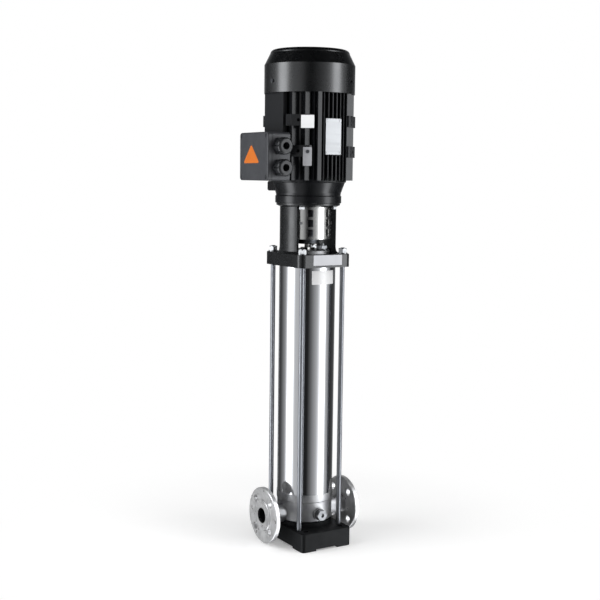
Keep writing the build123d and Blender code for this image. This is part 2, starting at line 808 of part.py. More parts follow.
# ---------------------------------------------------------------- motor
def end_shield_drive():
    """Lower end shield with the mounting flange, bearing seat and grease cap side."""
    flange_top = shield_base + motor_flange_thick
    seat_top = drive_bearing_base + bearing_width
    inner_top = shield_top_r - frame_wall
    body = turned([(motor_shaft_r + 2, shield_base - motor_spigot), (motor_spigot_r, shield_base - motor_spigot),
                   (motor_spigot_r, shield_base), (motor_flange_r - 1, shield_base), (motor_flange_r, shield_base + 1),
                   (motor_flange_r, flange_top - 2), (motor_flange_r - 2, flange_top), (motor_flange_r - 1, flange_top + 6),
                   (shield_top_r - 3, frame_base - 6), (shield_top_r, frame_base - 4), (shield_top_r, frame_base),
                   (inner_top, frame_base), (inner_top - 12, flange_top + 2), (bearing_r + 8, flange_top - 6),
                   (bearing_r + 7, seat_top), (bearing_r + thread_gap, seat_top),
                   (bearing_r + thread_gap, drive_bearing_base), (bearing_r - 6, drive_bearing_base),
                   (bearing_r - 6, shield_base + 8), (motor_shaft_r + 2, shield_base + 8)])
    for x, y in motor_bolt_points():
        body -= rod_along(up_plane(x, y), motor_bolt_r + thread_gap, shield_base, shield_base + 15)
    earth = block(shield_top_r - 8, shield_top_r + 10, -8, 8, frame_base - 27, frame_base - 3)
    earth = chamfer(earth.edges().filter_by(Axis.Y).group_by(Axis.X)[-1], 3)
    return body + Rot(0, 0, 135) * earth


def shaft_seal_ring():
    """Lip seal between the motor shaft and the lower end shield."""
    low = shield_base - motor_spigot
    return tube(motor_shaft_r + 2 - thread_gap, motor_shaft_r + bearing_gap, low + 1, shield_base + 6)


def upright_rib(off, thick, reach):
    """Rib along the whole frame, facing +X, rooted in the frame's round wall."""
    foot = sqrt((frame_r - 4) ** 2 - (abs(off) + thick / 2) ** 2)
    return block(foot, reach, off - thick / 2, off + thick / 2, frame_base, frame_top)


def corner_ribs():
    """The two thick ribs at the edges of one side, facing +X."""
    off = corner_rib_face - corner_rib_thick / 2
    return upright_rib(off, corner_rib_thick, corner_rib_reach) + upright_rib(-off, corner_rib_thick, corner_rib_reach)


def fins(skipped=()):
    """The thin fins of one side, facing +X, whose tips lie on one circle."""
    rows = [k for k in range(-fins_each_side, fins_each_side + 1) if k not in skipped]
    shape = upright_rib(rows[0] * fin_pitch, fin_thick, fin_tip_r)
    for k in rows[1:]:
        shape += upright_rib(k * fin_pitch, fin_thick, fin_tip_r)
    return shape & disc(fin_tip_r, frame_base, frame_top)


def frame_lugs():
    """Tapped blocks across one corner, facing +X before they are turned by 45 degrees."""
    lugs, holes = [], []
    for level in lug_levels:
        middle = frame_base + level
        lug = block(frame_r - 12, lug_face, -lug_width / 2, lug_width / 2,
                    middle - lug_height / 2, middle + lug_height / 2)
        lugs.append(chamfer(lug.edges().filter_by(Axis.Z).group_by(Axis.X)[-1], 4))
        holes.append(rod_along(radial_plane(0, middle), lug_thread_r, lug_face - lug_thread_depth, lug_face))
    return lugs[0] + lugs[1] - holes[0] - holes[1]


def box_seat(body):
    """Clears the flat side for the terminal box and adds the seat that it is screwed to."""
    edge = 1.5
    half, seat_half = box_width / 2 + edge, box_width / 2 - 12
    high = box_z + box_height
    body -= block(-fan_cover_r, -box_face_x, -half, half, box_z - edge, high + edge)
    body += block(-box_face_x, 12 - frame_r, -seat_half, seat_half, box_z + 6, high - 6)
    wire_hole = Plane(origin=(0, 0, box_mid_z), z_dir=(-1, 0, 0))
    return body - rod_along(wire_hole, 16, frame_r - 20, box_face_x)


def plate_block(near, edge):
    """Block behind the rating plate, from a distance in front of the axis to the motor's inside."""
    low = frame_base + plate_level - plate_z / 2
    left = plate_offset - plate_x / 2
    return block(left - edge, left + plate_x + edge, -near, 4 - frame_r, low - edge, low + plate_z + edge)


def motor_frame():
    body = tube(frame_r, frame_r - frame_wall - 2, frame_base, frame_top)
    body += corner_ribs() + fins()
    broad = upright_rib(wide_rib_at, wide_rib_thick, fin_tip_r - 1)
    for turn in (-90, 90):
        body += Rot(0, 0, turn) * (corner_ribs() + fins(skipped=(-3,)) + broad)
    body += Rot(0, 0, 180) * corner_ribs()
    body += block(-flat_face, 4 - frame_r, -flat_width / 2, flat_width / 2, frame_base, frame_top)
    for k in range(4):
        body += Rot(0, 0, 90 * k + 45) * frame_lugs()
    body = box_seat(body)
    face = fin_tip_r - plate_sink
    body = body - plate_block(fin_tip_r + 1, 1) + plate_block(face, 1)
    return body - disc(frame_r - frame_wall, frame_base, frame_top)


def rating_plate():
    face = fin_tip_r - plate_sink
    return plate_block(face + plate_thick, 0) - plate_block(face, 1)


def stator_core():
    body = tube(frame_r - frame_wall - 0.05, stator_bore_r, stator_base, stator_base + stator_length)
    for k in range(stator_slots):
        slot = block(stator_bore_r + 3, stator_bore_r + slot_depth, -4, 4, stator_base, stator_base + stator_length)
        mouth = block(stator_bore_r - 2, stator_bore_r + 4, -1.5, 1.5, stator_base, stator_base + stator_length)
        body -= Rot(0, 0, 360 / stator_slots * k) * (slot + mouth)
    return body


def stator_windings():
    """Copper in the slots with the end turns above and below the core, one piece."""
    low, high = stator_base, stator_base + stator_length
    inner, outer = stator_bore_r + 4.5, stator_bore_r + slot_depth - 1
    body = tube(outer + 6, inner, low - winding_reach, low - 0.5)
    body += tube(outer + 6, inner, high + 0.5, high + winding_reach)
    for k in range(stator_slots):
        bar = block(inner, outer, -3.5, 3.5, low - 1, high + 1)
        body += Rot(0, 0, 360 / stator_slots * k) * bar
    return body


def rotor_core():
    low, high = stator_base - 3, stator_base + stator_length + 3
    body = tube(rotor_r, motor_shaft_r + 6, low, high)
    return body + tube(rotor_r - 4, rotor_r - 16, low - 7, low) + tube(rotor_r - 4, rotor_r - 16, high, high + 7)


def motor_shaft():
    rotor_seat = motor_shaft_r + 6 - 0.02
    body = disc(motor_shaft_r, motor_shaft_end, drive_bearing_base)
    body = chamfer(body.edges().filter_by(GeomType.CIRCLE).sort_by(Axis.Z)[0], 1)
    body += disc(bearing_bore_r - 0.02, drive_bearing_base, drive_bearing_base + bearing_width)
    body += disc(rotor_seat, drive_bearing_base + bearing_width, fan_bearing_base)
    body += disc(bearing_bore_r - 0.02, fan_bearing_base, fan_bearing_base + bearing_width)
    body += disc(fan_shaft_r, fan_bearing_base + bearing_width, fan_base + fan_depth - 4)
    return body - key_shape(0)


def key_shape(clear):
    """Parallel key, half in the shaft and half in the coupling."""
    low = motor_shaft_end + 10
    high = motor_shaft_end + 46
    return block(-4 - clear, 4 + clear, motor_shaft_r - 4 - clear, motor_shaft_r + 3, low - clear, high + clear)


def shaft_key():
    return key_shape(0)


def bearing_levels():
    return (drive_bearing_base, fan_bearing_base)


def bearing_outer_rings():
    rings = []
    for low in bearing_levels():
        ring = tube(bearing_r, bearing_r - 6, low, low + bearing_width)
        rings.append(ring - raceway(low))
    return group(rings)


def bearing_inner_rings():
    rings = []
    for low in bearing_levels():
        ring = tube(bearing_bore_r + 6, bearing_bore_r, low, low + bearing_width)
        rings.append(ring - raceway(low))
    return group(rings)


def ball_circle_r():
    return (bearing_r + bearing_bore_r) / 2


def raceway(low):
    return Pos(0, 0, low + bearing_width / 2) * Torus(ball_circle_r(), ball_r + 0.08)


def bearing_balls():
    found = []
    for low in bearing_levels():
        for k in range(balls):
            a = radians(360 / balls * k)
            spot = (ball_circle_r() * cos(a), ball_circle_r() * sin(a), low + bearing_width / 2)
            found.append(Pos(*spot) * Sphere(ball_r))
    return group(found)


def end_shield_fan():
    """Upper end shield with its bearing seat and three ears for the fan cover."""
    seat_low, seat_top = fan_bearing_base, fan_bearing_base + bearing_width
    seat_r = bearing_r + thread_gap
    body = turned([(bearing_r + 7, seat_low - 2), (bearing_r + 7, frame_top - 4 + 2), (frame_r - frame_wall - slip, frame_top - 2),
                   (frame_r - frame_wall - slip, frame_top), (frame_r + 8, frame_top), (frame_r + 8, frame_top + 6),
                   (bearing_r + 9, frame_top + 9), (bearing_r + 6, seat_top + 5), (18, seat_top + 5),
                   (18, seat_top + 0.5), (seat_r, seat_top + 0.5), (seat_r, seat_low - 2)])
    ear_r = fan_cover_r - fan_cover_wall - slip
    for angle in cover_screws_at:
        level = frame_top + cover_screw_level
        ear = block(ear_r - 9, ear_r, -8, 8, frame_top, level + 8) + block(frame_r, ear_r, -8, 8, frame_top, frame_top + 6)
        ear &= disc(ear_r, frame_top, level + 8)
        body += Rot(0, 0, angle) * ear
        body -= rod_along(radial_plane(angle, level), cover_screw_r + thread_gap, ear_r - 12, ear_r + 2)
    return body


def cooling_fan():
    low, high = fan_base, fan_base + fan_depth
    body = tube(fan_hub_r, fan_shaft_r + 0.02, low, high) + tube(0.75 * fan_r, fan_shaft_r + 0.02, low, low + 3)
    for k in range(fan_blades):
        body += Rot(0, 0, 360 / fan_blades * k) * block(fan_hub_r - 2, fan_r, -1.25, 1.25, low, high)
    return body


def cover_outline(inset):
    """Half outline of the fan cover, moved inwards by the wall."""
    r, top = fan_cover_r - inset, cover_base + fan_cover_height - inset
    knee = cover_base + fan_cover_straight
    shoulder_r = fan_cover_top_r - inset * 1.1
    shoulder = knee + fan_cover_cone
    start = cover_base - (1 if inset else 0)
    wall = Polyline((0, start), (r, start), (r, knee), (shoulder_r, shoulder))
    crown = ThreePointArc((shoulder_r, shoulder), (shoulder_r - 3.2, top - 2.6), (shoulder_r - fan_cover_round, top))
    close = Polyline((shoulder_r - fan_cover_round, top), (0, top), (0, start))
    return make_face(wall + crown + close)


def fan_cover():
    outer = revolve(Plane.XZ * cover_outline(0), Axis.Z)
    inner = revolve(Plane.XZ * cover_outline(fan_cover_wall), Axis.Z)
    body = outer - inner
    top = cover_base + fan_cover_height
    for ring in range(grille_rings):
        near = grille_first_r + ring * (grille_slot + grille_bar)
        for sector in range(grille_sectors):
            width = 180 / grille_sectors - degrees(4 / near)
            mid = 360 / grille_sectors * (sector + 0.5 * (ring % 2))
            body -= ring_sector(near + grille_slot, near, top - 2 * fan_cover_wall, top + 1, mid, width)
    for angle in cover_screws_at:
        hole = radial_plane(angle, frame_top + cover_screw_level)
        body -= rod_along(hole, cover_screw_r + slip, fan_cover_r - 6, fan_cover_r + 3)
    return body


def fan_cover_screws():
    screws = []
    for angle in cover_screws_at:
        axis = radial_plane(angle, frame_top + cover_screw_level)
        shank = rod_along(axis, cover_screw_r, fan_cover_r - 12, fan_cover_r)
        screws.append(shank + rod_along(axis, 2 * cover_screw_r, fan_cover_r, fan_cover_r + 2.5))
    return group(screws)


# ---------------------------------------------------------------- terminal box
def box_outline(inset):
    """Rounded rectangle in the plane of the lid."""
    return RectangleRounded(box_width - 2 * inset, box_height - 2 * inset, box_corner_r - inset * 0.6)


def box_plane(reach):
    """Plane parallel to the lid at a distance from the motor axis; its x is along +Y."""
    return Plane(origin=(-reach, 0, box_mid_z), x_dir=(0, -1, 0), z_dir=(-1, 0, 0))


def gland_axes():
    """Planes looking out of the box towards -Y at the two cable glands."""
    x = -box_face_x - gland_at
    return [Plane(origin=(x, 0, box_z + level), x_dir=(1, 0, 0), z_dir=(0, -1, 0)) for level in gland_levels]


def lid_screw_points():
    return corners(box_width / 2 - lid_screw_inset, box_height / 2 - lid_screw_inset)


def terminal_box():
    body = extrude(box_plane(box_face_x + slip) * box_outline(0), box_depth - slip)
    body -= extrude(box_plane(box_face_x + box_wall) * box_outline(box_wall), box_depth)
    for x, y in lid_screw_points():
        post = box_plane(box_face_x + box_wall - 1) * Pos(x, y) * Circle(6.5)
        body += extrude(post, box_depth - box_wall + 1)
        hole = box_plane(box_front - 22) * Pos(x, y) * Circle(lid_screw_r + thread_gap)
        body -= extrude(hole, 22)
    body -= rod_along(box_plane(box_face_x - 1), 14, 0, box_wall + 3)
    for axis in gland_axes():
        body -= rod_along(axis, gland_thread_r + slip, box_width / 2 - box_wall - 8, box_width / 2 + 1)
    return body


def terminal_box_gasket():
    frame = box_outline(1) - box_outline(box_wall + 1)
    body = extrude(box_plane(box_front) * frame, gasket_thick)
    for x, y in lid_screw_points():
        body -= extrude(box_plane(box_front - 1) * Pos(x, y) * Circle(lid_screw_r + slip), gasket_thick + 2)
    return body


def terminal_box_lid():
    low = box_front + gasket_thick
    body = extrude(box_plane(low) * box_outline(0), lid_depth - gasket_thick)
    body = fillet(body.faces().sort_by(Axis.X)[0].edges(), 3)
    body -= extrude(box_plane(low) * box_outline(box_wall + 6), lid_depth - gasket_thick - 4)
    for x, y in lid_screw_points():
        hole = box_plane(low) * Pos(x, y)
        body -= extrude(hole * Circle(lid_screw_r + slip), lid_depth)
        body -= extrude(box_plane(box_front + lid_depth - 3.5) * Pos(x, y) * Circle(5.2), 5)
    return body


def lid_screws():
    screws = []
    head = box_front + lid_depth - 3.5
    for x, y in lid_screw_points():
        shank = extrude(box_plane(box_front - 18) * Pos(x, y) * Circle(lid_screw_r), head - box_front + 18)
        screws.append(shank + extrude(box_plane(head) * Pos(x, y) * Circle(4.8), 3))
    return group(screws)


def terminal_block():
    """Moulded block with six studs for the supply and the winding ends."""
    back = box_face_x + box_wall
    body = extrude(box_plane(back) * Pos(0, 24) * RectangleRounded(64, 34, 3), 12)
    for row in (-1, 1):
        for col in (-1, 0, 1):
            spot = Pos(col * 19, 24 + row * 8)
            body += extrude(box_plane(back + 12) * spot * Circle(2.2), 12)
            body += extrude(box_plane(back + 14) * spot * RegularPolygon(3.8, 6), 4)
    return body


def gland_bodies():
    """Cable glands: thread in the box's wall, hexagon, and the thread for the nut."""
    side, found = box_width / 2, []
    for axis in gland_axes():
        body = rod_along(axis, gland_thread_r, side - box_wall - 7, side) + hex_prism(axis, gland_hex, side, side + 9)
        body += rod_along(axis, gland_thread_r - 1, side + 9, side + 18)
        found.append(body - rod_along(axis, gland_seal_r + 0.1, side - box_wall - 7, side + 18))
    return group(found)


def gland_seals():
    """Rubber sleeves that the nuts press round the cables."""
    near, far, found = box_width / 2 + 2, box_width / 2 + 19, []
    for axis in gland_axes():
        found.append(rod_along(axis, gland_seal_r, near, far) - rod_along(axis, gland_bore_r, near, far))
    return group(found)


def gland_nuts():
    """Domed nuts with grooves for the fingers."""
    low, found = box_width / 2 + 9, []
    high = low + gland_nut_length
    for axis in gland_axes():
        nut = rod_along(axis, gland_nut_r, low, high)
        nut = fillet(nut.edges().filter_by(GeomType.CIRCLE).sort_by(Axis.Y)[0], gland_nut_round)
        for k in range(8):
            a = radians(45 * k)
            groove = axis.offset(low - 1) * Pos(gland_nut_r * cos(a), gland_nut_r * sin(a)) * Circle(2.2)
            nut -= extrude(groove, gland_nut_length + 2)
        nut -= rod_along(axis, gland_thread_r - 1 + thread_gap, low, low + 9.2)
        nut -= rod_along(axis, gland_seal_r + 0.2, low, low + 10.2)
        found.append(nut - rod_along(axis, gland_mouth_r, low, high))
    return group(found)


# ---------------------------------------------------------------- all nodes
def all_nodes():
    return {
        "base_frame": base_frame(),
        "pump_chamber": pump_chamber(),
        "inlet_collar": port_collar(-1),
        "outlet_collar": port_collar(1),
        "inlet_flange": loose_flange(-1),
        "outlet_flange": loose_flange(1),
        "drain_plug": drain_plug(),
        "drain_washer": drain_washer(),
        "outer_sleeve": outer_sleeve(),
        "sleeve_o_rings": sleeve_o_rings(),
        "tie_rods": tie_rods(),
        "tie_rod_washers": tie_rod_washers(),
        "tie_rod_nuts": tie_rod_nuts(),
        "head_cover": head_cover(),
        "priming_washer": priming_washer(),
        "priming_plug": priming_plug(),
        "vent_screw": vent_screw(),
        "motor_stool": motor_stool(),
        "stool_bolts": stool_bolts(),
        "coupling_guard_front": coupling_guard(270),
        "coupling_guard_rear": coupling_guard(90),
        "guard_screws": guard_screws(),
        "coupling_half_front": coupling_half(-1),
        "coupling_half_rear": coupling_half(1),
        "coupling_screws": coupling_screws(),
        "coupling_pin": coupling_pin(),
        "seal_carrier": seal_carrier(),
        "seal_rotating_part": seal_rotating_part(),
        "suction_piece": suction_piece(),
        "stage_bowls": stage_bowls(),
        "return_vanes": return_vanes(),
        "shaft_bushes": shaft_bushes(),
        "top_piece": top_piece(),
        "impellers": impellers(),
        "shaft_nut": shaft_nut(),
        "pump_shaft": pump_shaft(),
        "end_shield_drive": end_shield_drive(),
        "shaft_seal_ring": shaft_seal_ring(),
        "motor_frame": motor_frame(),
        "rating_plate": rating_plate(),
        "stator_core": stator_core(),
        "stator_windings": stator_windings(),
        "rotor_core": rotor_core(),
        "motor_shaft": motor_shaft(),
        "shaft_key": shaft_key(),
        "bearing_outer_rings": bearing_outer_rings(),
        "bearing_inner_rings": bearing_inner_rings(),
        "bearing_balls": bearing_balls(),
        "end_shield_fan": end_shield_fan(),
        "cooling_fan": cooling_fan(),
        "fan_cover": fan_cover(),
        "fan_cover_screws": fan_cover_screws(),
        "terminal_box": terminal_box(),
        "terminal_box_gasket": terminal_box_gasket(),
        "terminal_box_lid": terminal_box_lid(),
        "lid_screws": lid_screws(),
        "terminal_block": terminal_block(),
        "gland_bodies": gland_bodies(),
        "gland_seals": gland_seals(),
        "gland_nuts": gland_nuts(),
    }


os.makedirs("parts", exist_ok=True)
for name, shape in all_nodes().items():
    export_step(shape, "parts/" + name + ".step")
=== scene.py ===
"""Vertical multistage pump: finishes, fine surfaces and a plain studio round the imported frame."""

from math import cos, pi, radians, sin

import bpy
import numpy as np
from mathutils import Matrix, Vector


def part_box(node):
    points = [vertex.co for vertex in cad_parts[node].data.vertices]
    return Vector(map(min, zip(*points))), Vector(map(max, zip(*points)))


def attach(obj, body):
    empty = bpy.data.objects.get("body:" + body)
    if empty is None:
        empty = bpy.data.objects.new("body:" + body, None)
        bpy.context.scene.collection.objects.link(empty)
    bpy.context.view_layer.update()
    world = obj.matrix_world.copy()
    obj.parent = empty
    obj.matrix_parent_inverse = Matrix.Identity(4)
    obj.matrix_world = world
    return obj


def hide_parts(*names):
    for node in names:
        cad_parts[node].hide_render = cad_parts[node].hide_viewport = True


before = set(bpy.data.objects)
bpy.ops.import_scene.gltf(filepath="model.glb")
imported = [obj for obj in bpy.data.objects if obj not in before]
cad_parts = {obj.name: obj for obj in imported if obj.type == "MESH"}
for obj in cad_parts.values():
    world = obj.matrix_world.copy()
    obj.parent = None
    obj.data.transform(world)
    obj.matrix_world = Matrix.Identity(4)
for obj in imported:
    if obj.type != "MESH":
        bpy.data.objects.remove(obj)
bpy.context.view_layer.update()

bl_info = {
    "name": "Vertical multistage pump",
    "version": (1, 0, 0),
    "blender": (4, 5, 0),
    "location": "3D View > Sidebar > Pump",
    "description": "Finishes, fine surfaces, bare plates and a studio for a vertical multistage pump",
    "category": "Object",
}

MM = 0.001

SLEEVE_FACETS = 720  # round the sleeve, fine enough for its mirror finish
LUG_FACE = 110 * MM  # from the motor's axis to the face of its lugs
LUG_TURN = radians(-135)  # the lugs that carry signs face the corner between -X and -Y
FIN_START = 29 * MM  # the fins in front and behind start this far from the axis, past the wide rib
FIN_DEPTH = 90 * MM  # further out than this along X or Y, the motor frame is all fins
FIN_ROUGHNESS = 0.5
PORT_AXIS = 75 * MM  # height of the two ports' axis
PORT_BORE = 19.4 * MM  # just past the wall of the ports' bore; inside it the colour is darkened as painted shade

# Where the middles of the bare plates lie, and what their corners, screw and rivets measure.
HEAD_LABEL_AT = (5 * MM, 18 * MM)  # along X, and over the top of the sleeve
SLEEVE_LABEL_AT = (radians(-84), 674 * MM)  # turn and height
UPPER_SIGN_AT = (22.5 * MM, 1049.7 * MM)  # across the lug and height, as for the next two
LOWER_SIGN_AT = (22.8 * MM, 967.5 * MM)
LOWER_SCREW_AT = (23.5 * MM, 979 * MM)
LID_MARKER_AT = (10.5 * MM, 965.5 * MM)  # along Y and height
RIVET_INSET = 4 * MM  # from the edges of the rating plate
LABEL_CORNER = 1.5 * MM
SIGN_CORNER = 1.2 * MM
MARKER_CORNER = 3 * MM
SCREW_HEAD = (4.2 * MM, 2.6 * MM)  # radius and how far it stands out, as for the rivets
RIVET_HEAD = (1.7 * MM, 0.8 * MM)
PLATE_GAP = 0.03 * MM  # between a plate and the face that it lies on
PLATE_STEP = 4 * MM  # between the points of a flat plate
BENT_STEP = 2 * MM  # between the points of a plate that follows the sleeve

# Softboxes: turn from the camera's side in degrees, positive to its right, and width in metres.
LAMPS = {"left": (-71, 1.5), "right": (67, 1.25)}
LAMP_HEIGHT = 2.3
LAMP_DISTANCE = 1.7
LAMP_AIM = Vector((0, 0, 0.62))
LAMP_RISE = 0.12  # from the height that the lamps aim at to their middles

ROUND = 96  # points round the floor and the tent
FLOOR_RINGS = (0.02, 0.6, 2.0, 12.0)  # radii of the floor's rings of points
FLOOR_FADE = (0.25, 0.8)  # distances from the pump's axis between which the floor turns white
TENT_ENDS = (-2.6, 3.6)  # heights of the tent's bottom and top
TENT_FADE = (1.7, 2.1)  # heights between which its panels fade to black


# ---------------------------------------------------------------- what a user would change
class PumpColours(bpy.types.PropertyGroup):
    """Paint and plastic colours, as sRGB hex values."""

    casting: bpy.props.StringProperty(
        name="Base and stool", description="Grey iron of the base and the motor stool", default="#0f1011")
    motor: bpy.props.StringProperty(
        name="Motor", description="Painted aluminium of the motor frame and end shields", default="#0c0d0f")
    fan_cover: bpy.props.StringProperty(
        name="Fan cover", description="Enamelled steel of the fan cover", default="#090a0b")
    box: bpy.props.StringProperty(
        name="Terminal box", description="Painted terminal box and its lid", default="#2c2d30")
    marker: bpy.props.StringProperty(
        name="Lid marker", description="Plain film marker on the terminal box lid", default="#b45c04")


class PumpSizes(bpy.types.PropertyGroup):
    """Sizes of the pieces that are added round the frame."""

    sleeve_wall: bpy.props.FloatProperty(
        name="Sleeve wall", description="Wall of the outer sleeve", default=3 * MM,
        unit="LENGTH", subtype="DISTANCE")
    film_thick: bpy.props.FloatProperty(
        name="Label film", description="Thickness of the bare label films", default=0.25 * MM,
        unit="LENGTH", subtype="DISTANCE")
    sign_thick: bpy.props.FloatProperty(
        name="Sign plate", description="Thickness of the bare sign plates", default=0.8 * MM,
        unit="LENGTH", subtype="DISTANCE")
    head_label: bpy.props.FloatVectorProperty(
        name="Head label", description="Width and height of the bare label on the stool's edge", size=2,
        default=(82 * MM, 25 * MM), unit="LENGTH")
    sleeve_label: bpy.props.FloatVectorProperty(
        name="Sleeve label", description="Width and height of the bare label on the sleeve", size=2,
        default=(68.4 * MM, 33.6 * MM), unit="LENGTH")
    upper_sign: bpy.props.FloatVectorProperty(
        name="Upper sign", description="Width and height of the bare plate on the upper lug", size=2,
        default=(32 * MM, 30.6 * MM), unit="LENGTH")
    lower_sign: bpy.props.FloatVectorProperty(
        name="Lower sign", description="Width and height of the bare plate on the lower lug", size=2,
        default=(21.6 * MM, 44 * MM), unit="LENGTH")
    lid_marker: bpy.props.FloatVectorProperty(
        name="Lid marker", description="Width and height of the plain marker on the lid", size=2,
        default=(72 * MM, 42 * MM), unit="LENGTH")


class PumpStudio(bpy.types.PropertyGroup):
    """Camera and lamps."""

    distance: bpy.props.FloatProperty(
        name="Camera distance", description="From the pump's axis to the camera, level with the floor",
        default=2.7967, unit="LENGTH", subtype="DISTANCE")
    height: bpy.props.FloatProperty(
        name="Camera height", description="Height of the camera over the floor", default=0.9235,
        unit="LENGTH", subtype="DISTANCE")
    bearing: bpy.props.FloatProperty(
        name="Camera bearing", description="Where the camera stands, turned about the pump's axis from +X",
        default=radians(-121.566), subtype="ANGLE", unit="ROTATION")
    heading: bpy.props.FloatProperty(
        name="Camera heading", description="Way that the camera looks, turned about the upright from +Y",
        default=radians(-31.21), subtype="ANGLE", unit="ROTATION")
    pitch: bpy.props.FloatProperty(
        name="Camera pitch", description="How far the camera looks down", default=radians(6.36),
        subtype="ANGLE", unit="ROTATION")
    roll: bpy.props.FloatProperty(
        name="Camera roll", description="How far the camera is rolled to its left", default=radians(0.70),
        subtype="ANGLE", unit="ROTATION")
    lens: bpy.props.FloatProperty(
        name="Lens", description="Focal length in mm", default=67.3, unit="CAMERA")
    softbox: bpy.props.FloatProperty(
        name="Softbox radiance", description="Brightness of the two tall softboxes", default=3.2)
    tent: bpy.props.FloatProperty(
        name="Tent panels", description="Brightness of the tent's white panels in bright metal", default=5.5)
    tent_radius: bpy.props.FloatProperty(
        name="Tent radius", description="From the pump's axis to the tent's cloth", default=1.35,
        unit="LENGTH", subtype="DISTANCE")
    fill: bpy.props.FloatProperty(
        name="Fill", description="Brightness of the room for matt surfaces", default=0.45)


# ---------------------------------------------------------------- colours and shader nodes
def linear(code):
    """sRGB hex to linear RGBA by the sRGB curve: x/12.92 below 0.04045, ((x+0.055)/1.055)^2.4 above it."""
    parts = np.array([int(code[i:i + 2], 16) for i in (1, 3, 5)]) / 255
    return (*np.where(parts > 0.04045, ((parts + 0.055) / 1.055) ** 2.4, parts / 12.92), 1.0)


def add(tree, kind, settings, links):
    """Add one shader node. A link's value is a constant for that input or the socket that feeds it."""
    made = tree.nodes.new("ShaderNode" + kind)
    for name, value in settings.items():
        setattr(made, name, value)
    for name, value in links.items():
        if isinstance(value, bpy.types.NodeSocket):
            tree.links.new(value, made.inputs[name])
        else:
            made.inputs[name].default_value = value
    return made


class Finish:
    """One material with a Principled shader, and the patterns that a maker's process leaves on it.

    A keyword sets the socket of that name: specular_ior_level sets Specular IOR Level.
    """

    def __init__(self, name, colour, **sockets):
        self.material = bpy.data.materials.new(name)
        self.material.use_nodes = True
        self.tree = self.material.node_tree
        self.shader = self.tree.nodes["Principled BSDF"]
        self.shader.inputs["Base Color"].default_value = linear(colour)
        for socket, value in sockets.items():
            self.shader.inputs[socket.replace("_", " ").title().replace("Ior", "IOR")].default_value = value
        self.place = add(self.tree, "TexCoord", {}, {}).outputs["Object"]
        self.normal = None

    def stretched(self, x, y, z):
        """Object coordinates scaled along each axis, so that a round grain becomes a streak."""
        return add(self.tree, "Mapping", {}, {"Vector": self.place, "Scale": (x, y, z)}).outputs["Vector"]

    def feed(self, socket, source):
        """Let an output drive one of the shader's inputs."""
        self.tree.links.new(source, self.shader.inputs[socket])

    def relief(self, height, depth):
        """Add a relief of that depth in metres over what is there already."""
        links = {"Height": height, "Distance": depth, "Strength": 1.0}
        if self.normal is not None:
            links["Normal"] = self.normal
        self.normal = add(self.tree, "Bump", {}, links).outputs["Normal"]
        self.feed("Normal", self.normal)

    def grain(self, size, depth, place=None):
        """Fine random relief: grit of that size and depth, as a mould, a blast or a spray leaves it."""
        noise = add(self.tree, "TexNoise", {},
                    {"Vector": place or self.place, "Scale": 1 / size, "Detail": 3.0, "Roughness": 0.6})
        self.relief(noise.outputs["Fac"], depth)

    def patchy(self, size, low, high, place=None):
        """The roughness drifts between two values in soft patches of that size."""
        noise = add(self.tree, "TexNoise", {},
                    {"Vector": place or self.place, "Scale": 1 / size, "Detail": 2.0, "Roughness": 0.5})
        drift = add(self.tree, "MapRange", {},
                    {"Value": noise.outputs["Fac"], "From Min": 0.3, "From Max": 0.7,
                     "To Min": low, "To Max": high})
        self.feed("Roughness", drift.outputs["Result"])

    def mottled(self, size, first, second):
        """The colour drifts between two shades in soft patches of that size."""
        noise = add(self.tree, "TexNoise", {},
                    {"Vector": self.place, "Scale": 1 / size, "Detail": 4.0, "Roughness": 0.55})
        blend = add(self.tree, "ValToRGB", {}, {"Fac": noise.outputs["Fac"]})
        blend.color_ramp.elements[0].position = 0.35
        blend.color_ramp.elements[0].color = linear(first)
        blend.color_ramp.elements[1].position = 0.65
        blend.color_ramp.elements[1].color = linear(second)
        self.feed("Base Color", blend.outputs["Color"])

    def painted_bore_shade(self):
        """Painted shade: darken the colour inside the ports' bore, where the recess lies in shade."""
        colour = self.shader.inputs["Base Color"].links[0].from_socket
        across = add(self.tree, "VectorMath", {"operation": "MULTIPLY_ADD"},
                     {0: self.place, 1: (0, 1, 1), 2: (0, 0, -PORT_AXIS)})
        reach = add(self.tree, "VectorMath", {"operation": "LENGTH"}, {0: across.outputs["Vector"]})
        share = add(self.tree, "MapRange", {},
                    {"Value": reach.outputs["Value"], "From Min": PORT_BORE, "From Max": PORT_BORE + 0.2 * MM,
                     "To Min": 0.1, "To Max": 1.0})
        shaded = add(self.tree, "VectorMath", {"operation": "SCALE"},
                     {0: colour, "Scale": share.outputs["Result"]})
        self.feed("Base Color", shaded.outputs["Vector"])


# ---------------------------------------------------------------- materials
def coated_iron(colour):
    """Grey iron, sand-cast and dip-coated: near-black and dull over the sand's skin, drawn coarse to show."""
    skin = Finish("coated_cast_iron", colour, roughness=0.5, ior=1.5, specular_ior_level=0.12)
    skin.grain(1.8 * MM, 0.10 * MM)
    skin.grain(9 * MM, 0.15 * MM)
    skin.patchy(25 * MM, 0.44, 0.58)
    return skin.material


def sprayed_iron(colour):
    """Grey iron, sand-cast, filled and sprayed: black with clear soft reflections."""
    skin = Finish("sprayed_cast_iron", colour, roughness=0.26, ior=1.5)
    skin.grain(2.5 * MM, 0.03 * MM)
    skin.grain(14 * MM, 0.12 * MM)
    skin.patchy(25 * MM, 0.22, 0.32)
    return skin.material


def blasted_stainless():
    """Stainless steel, investment-cast and bead-blasted: a satin grey.

    Its 0.2 mm grit is drawn at 1.2 mm to show.
    """
    skin = Finish("blasted_stainless", "#a4a4a5", metallic=1.0, roughness=0.44)
    skin.mottled(30 * MM, "#98989a", "#b0b0b0")
    # painted shade inside the ports' bore
    skin.painted_bore_shade()
    skin.grain(1.2 * MM, 0.04 * MM)
    skin.patchy(20 * MM, 0.38, 0.5)
    return skin.material


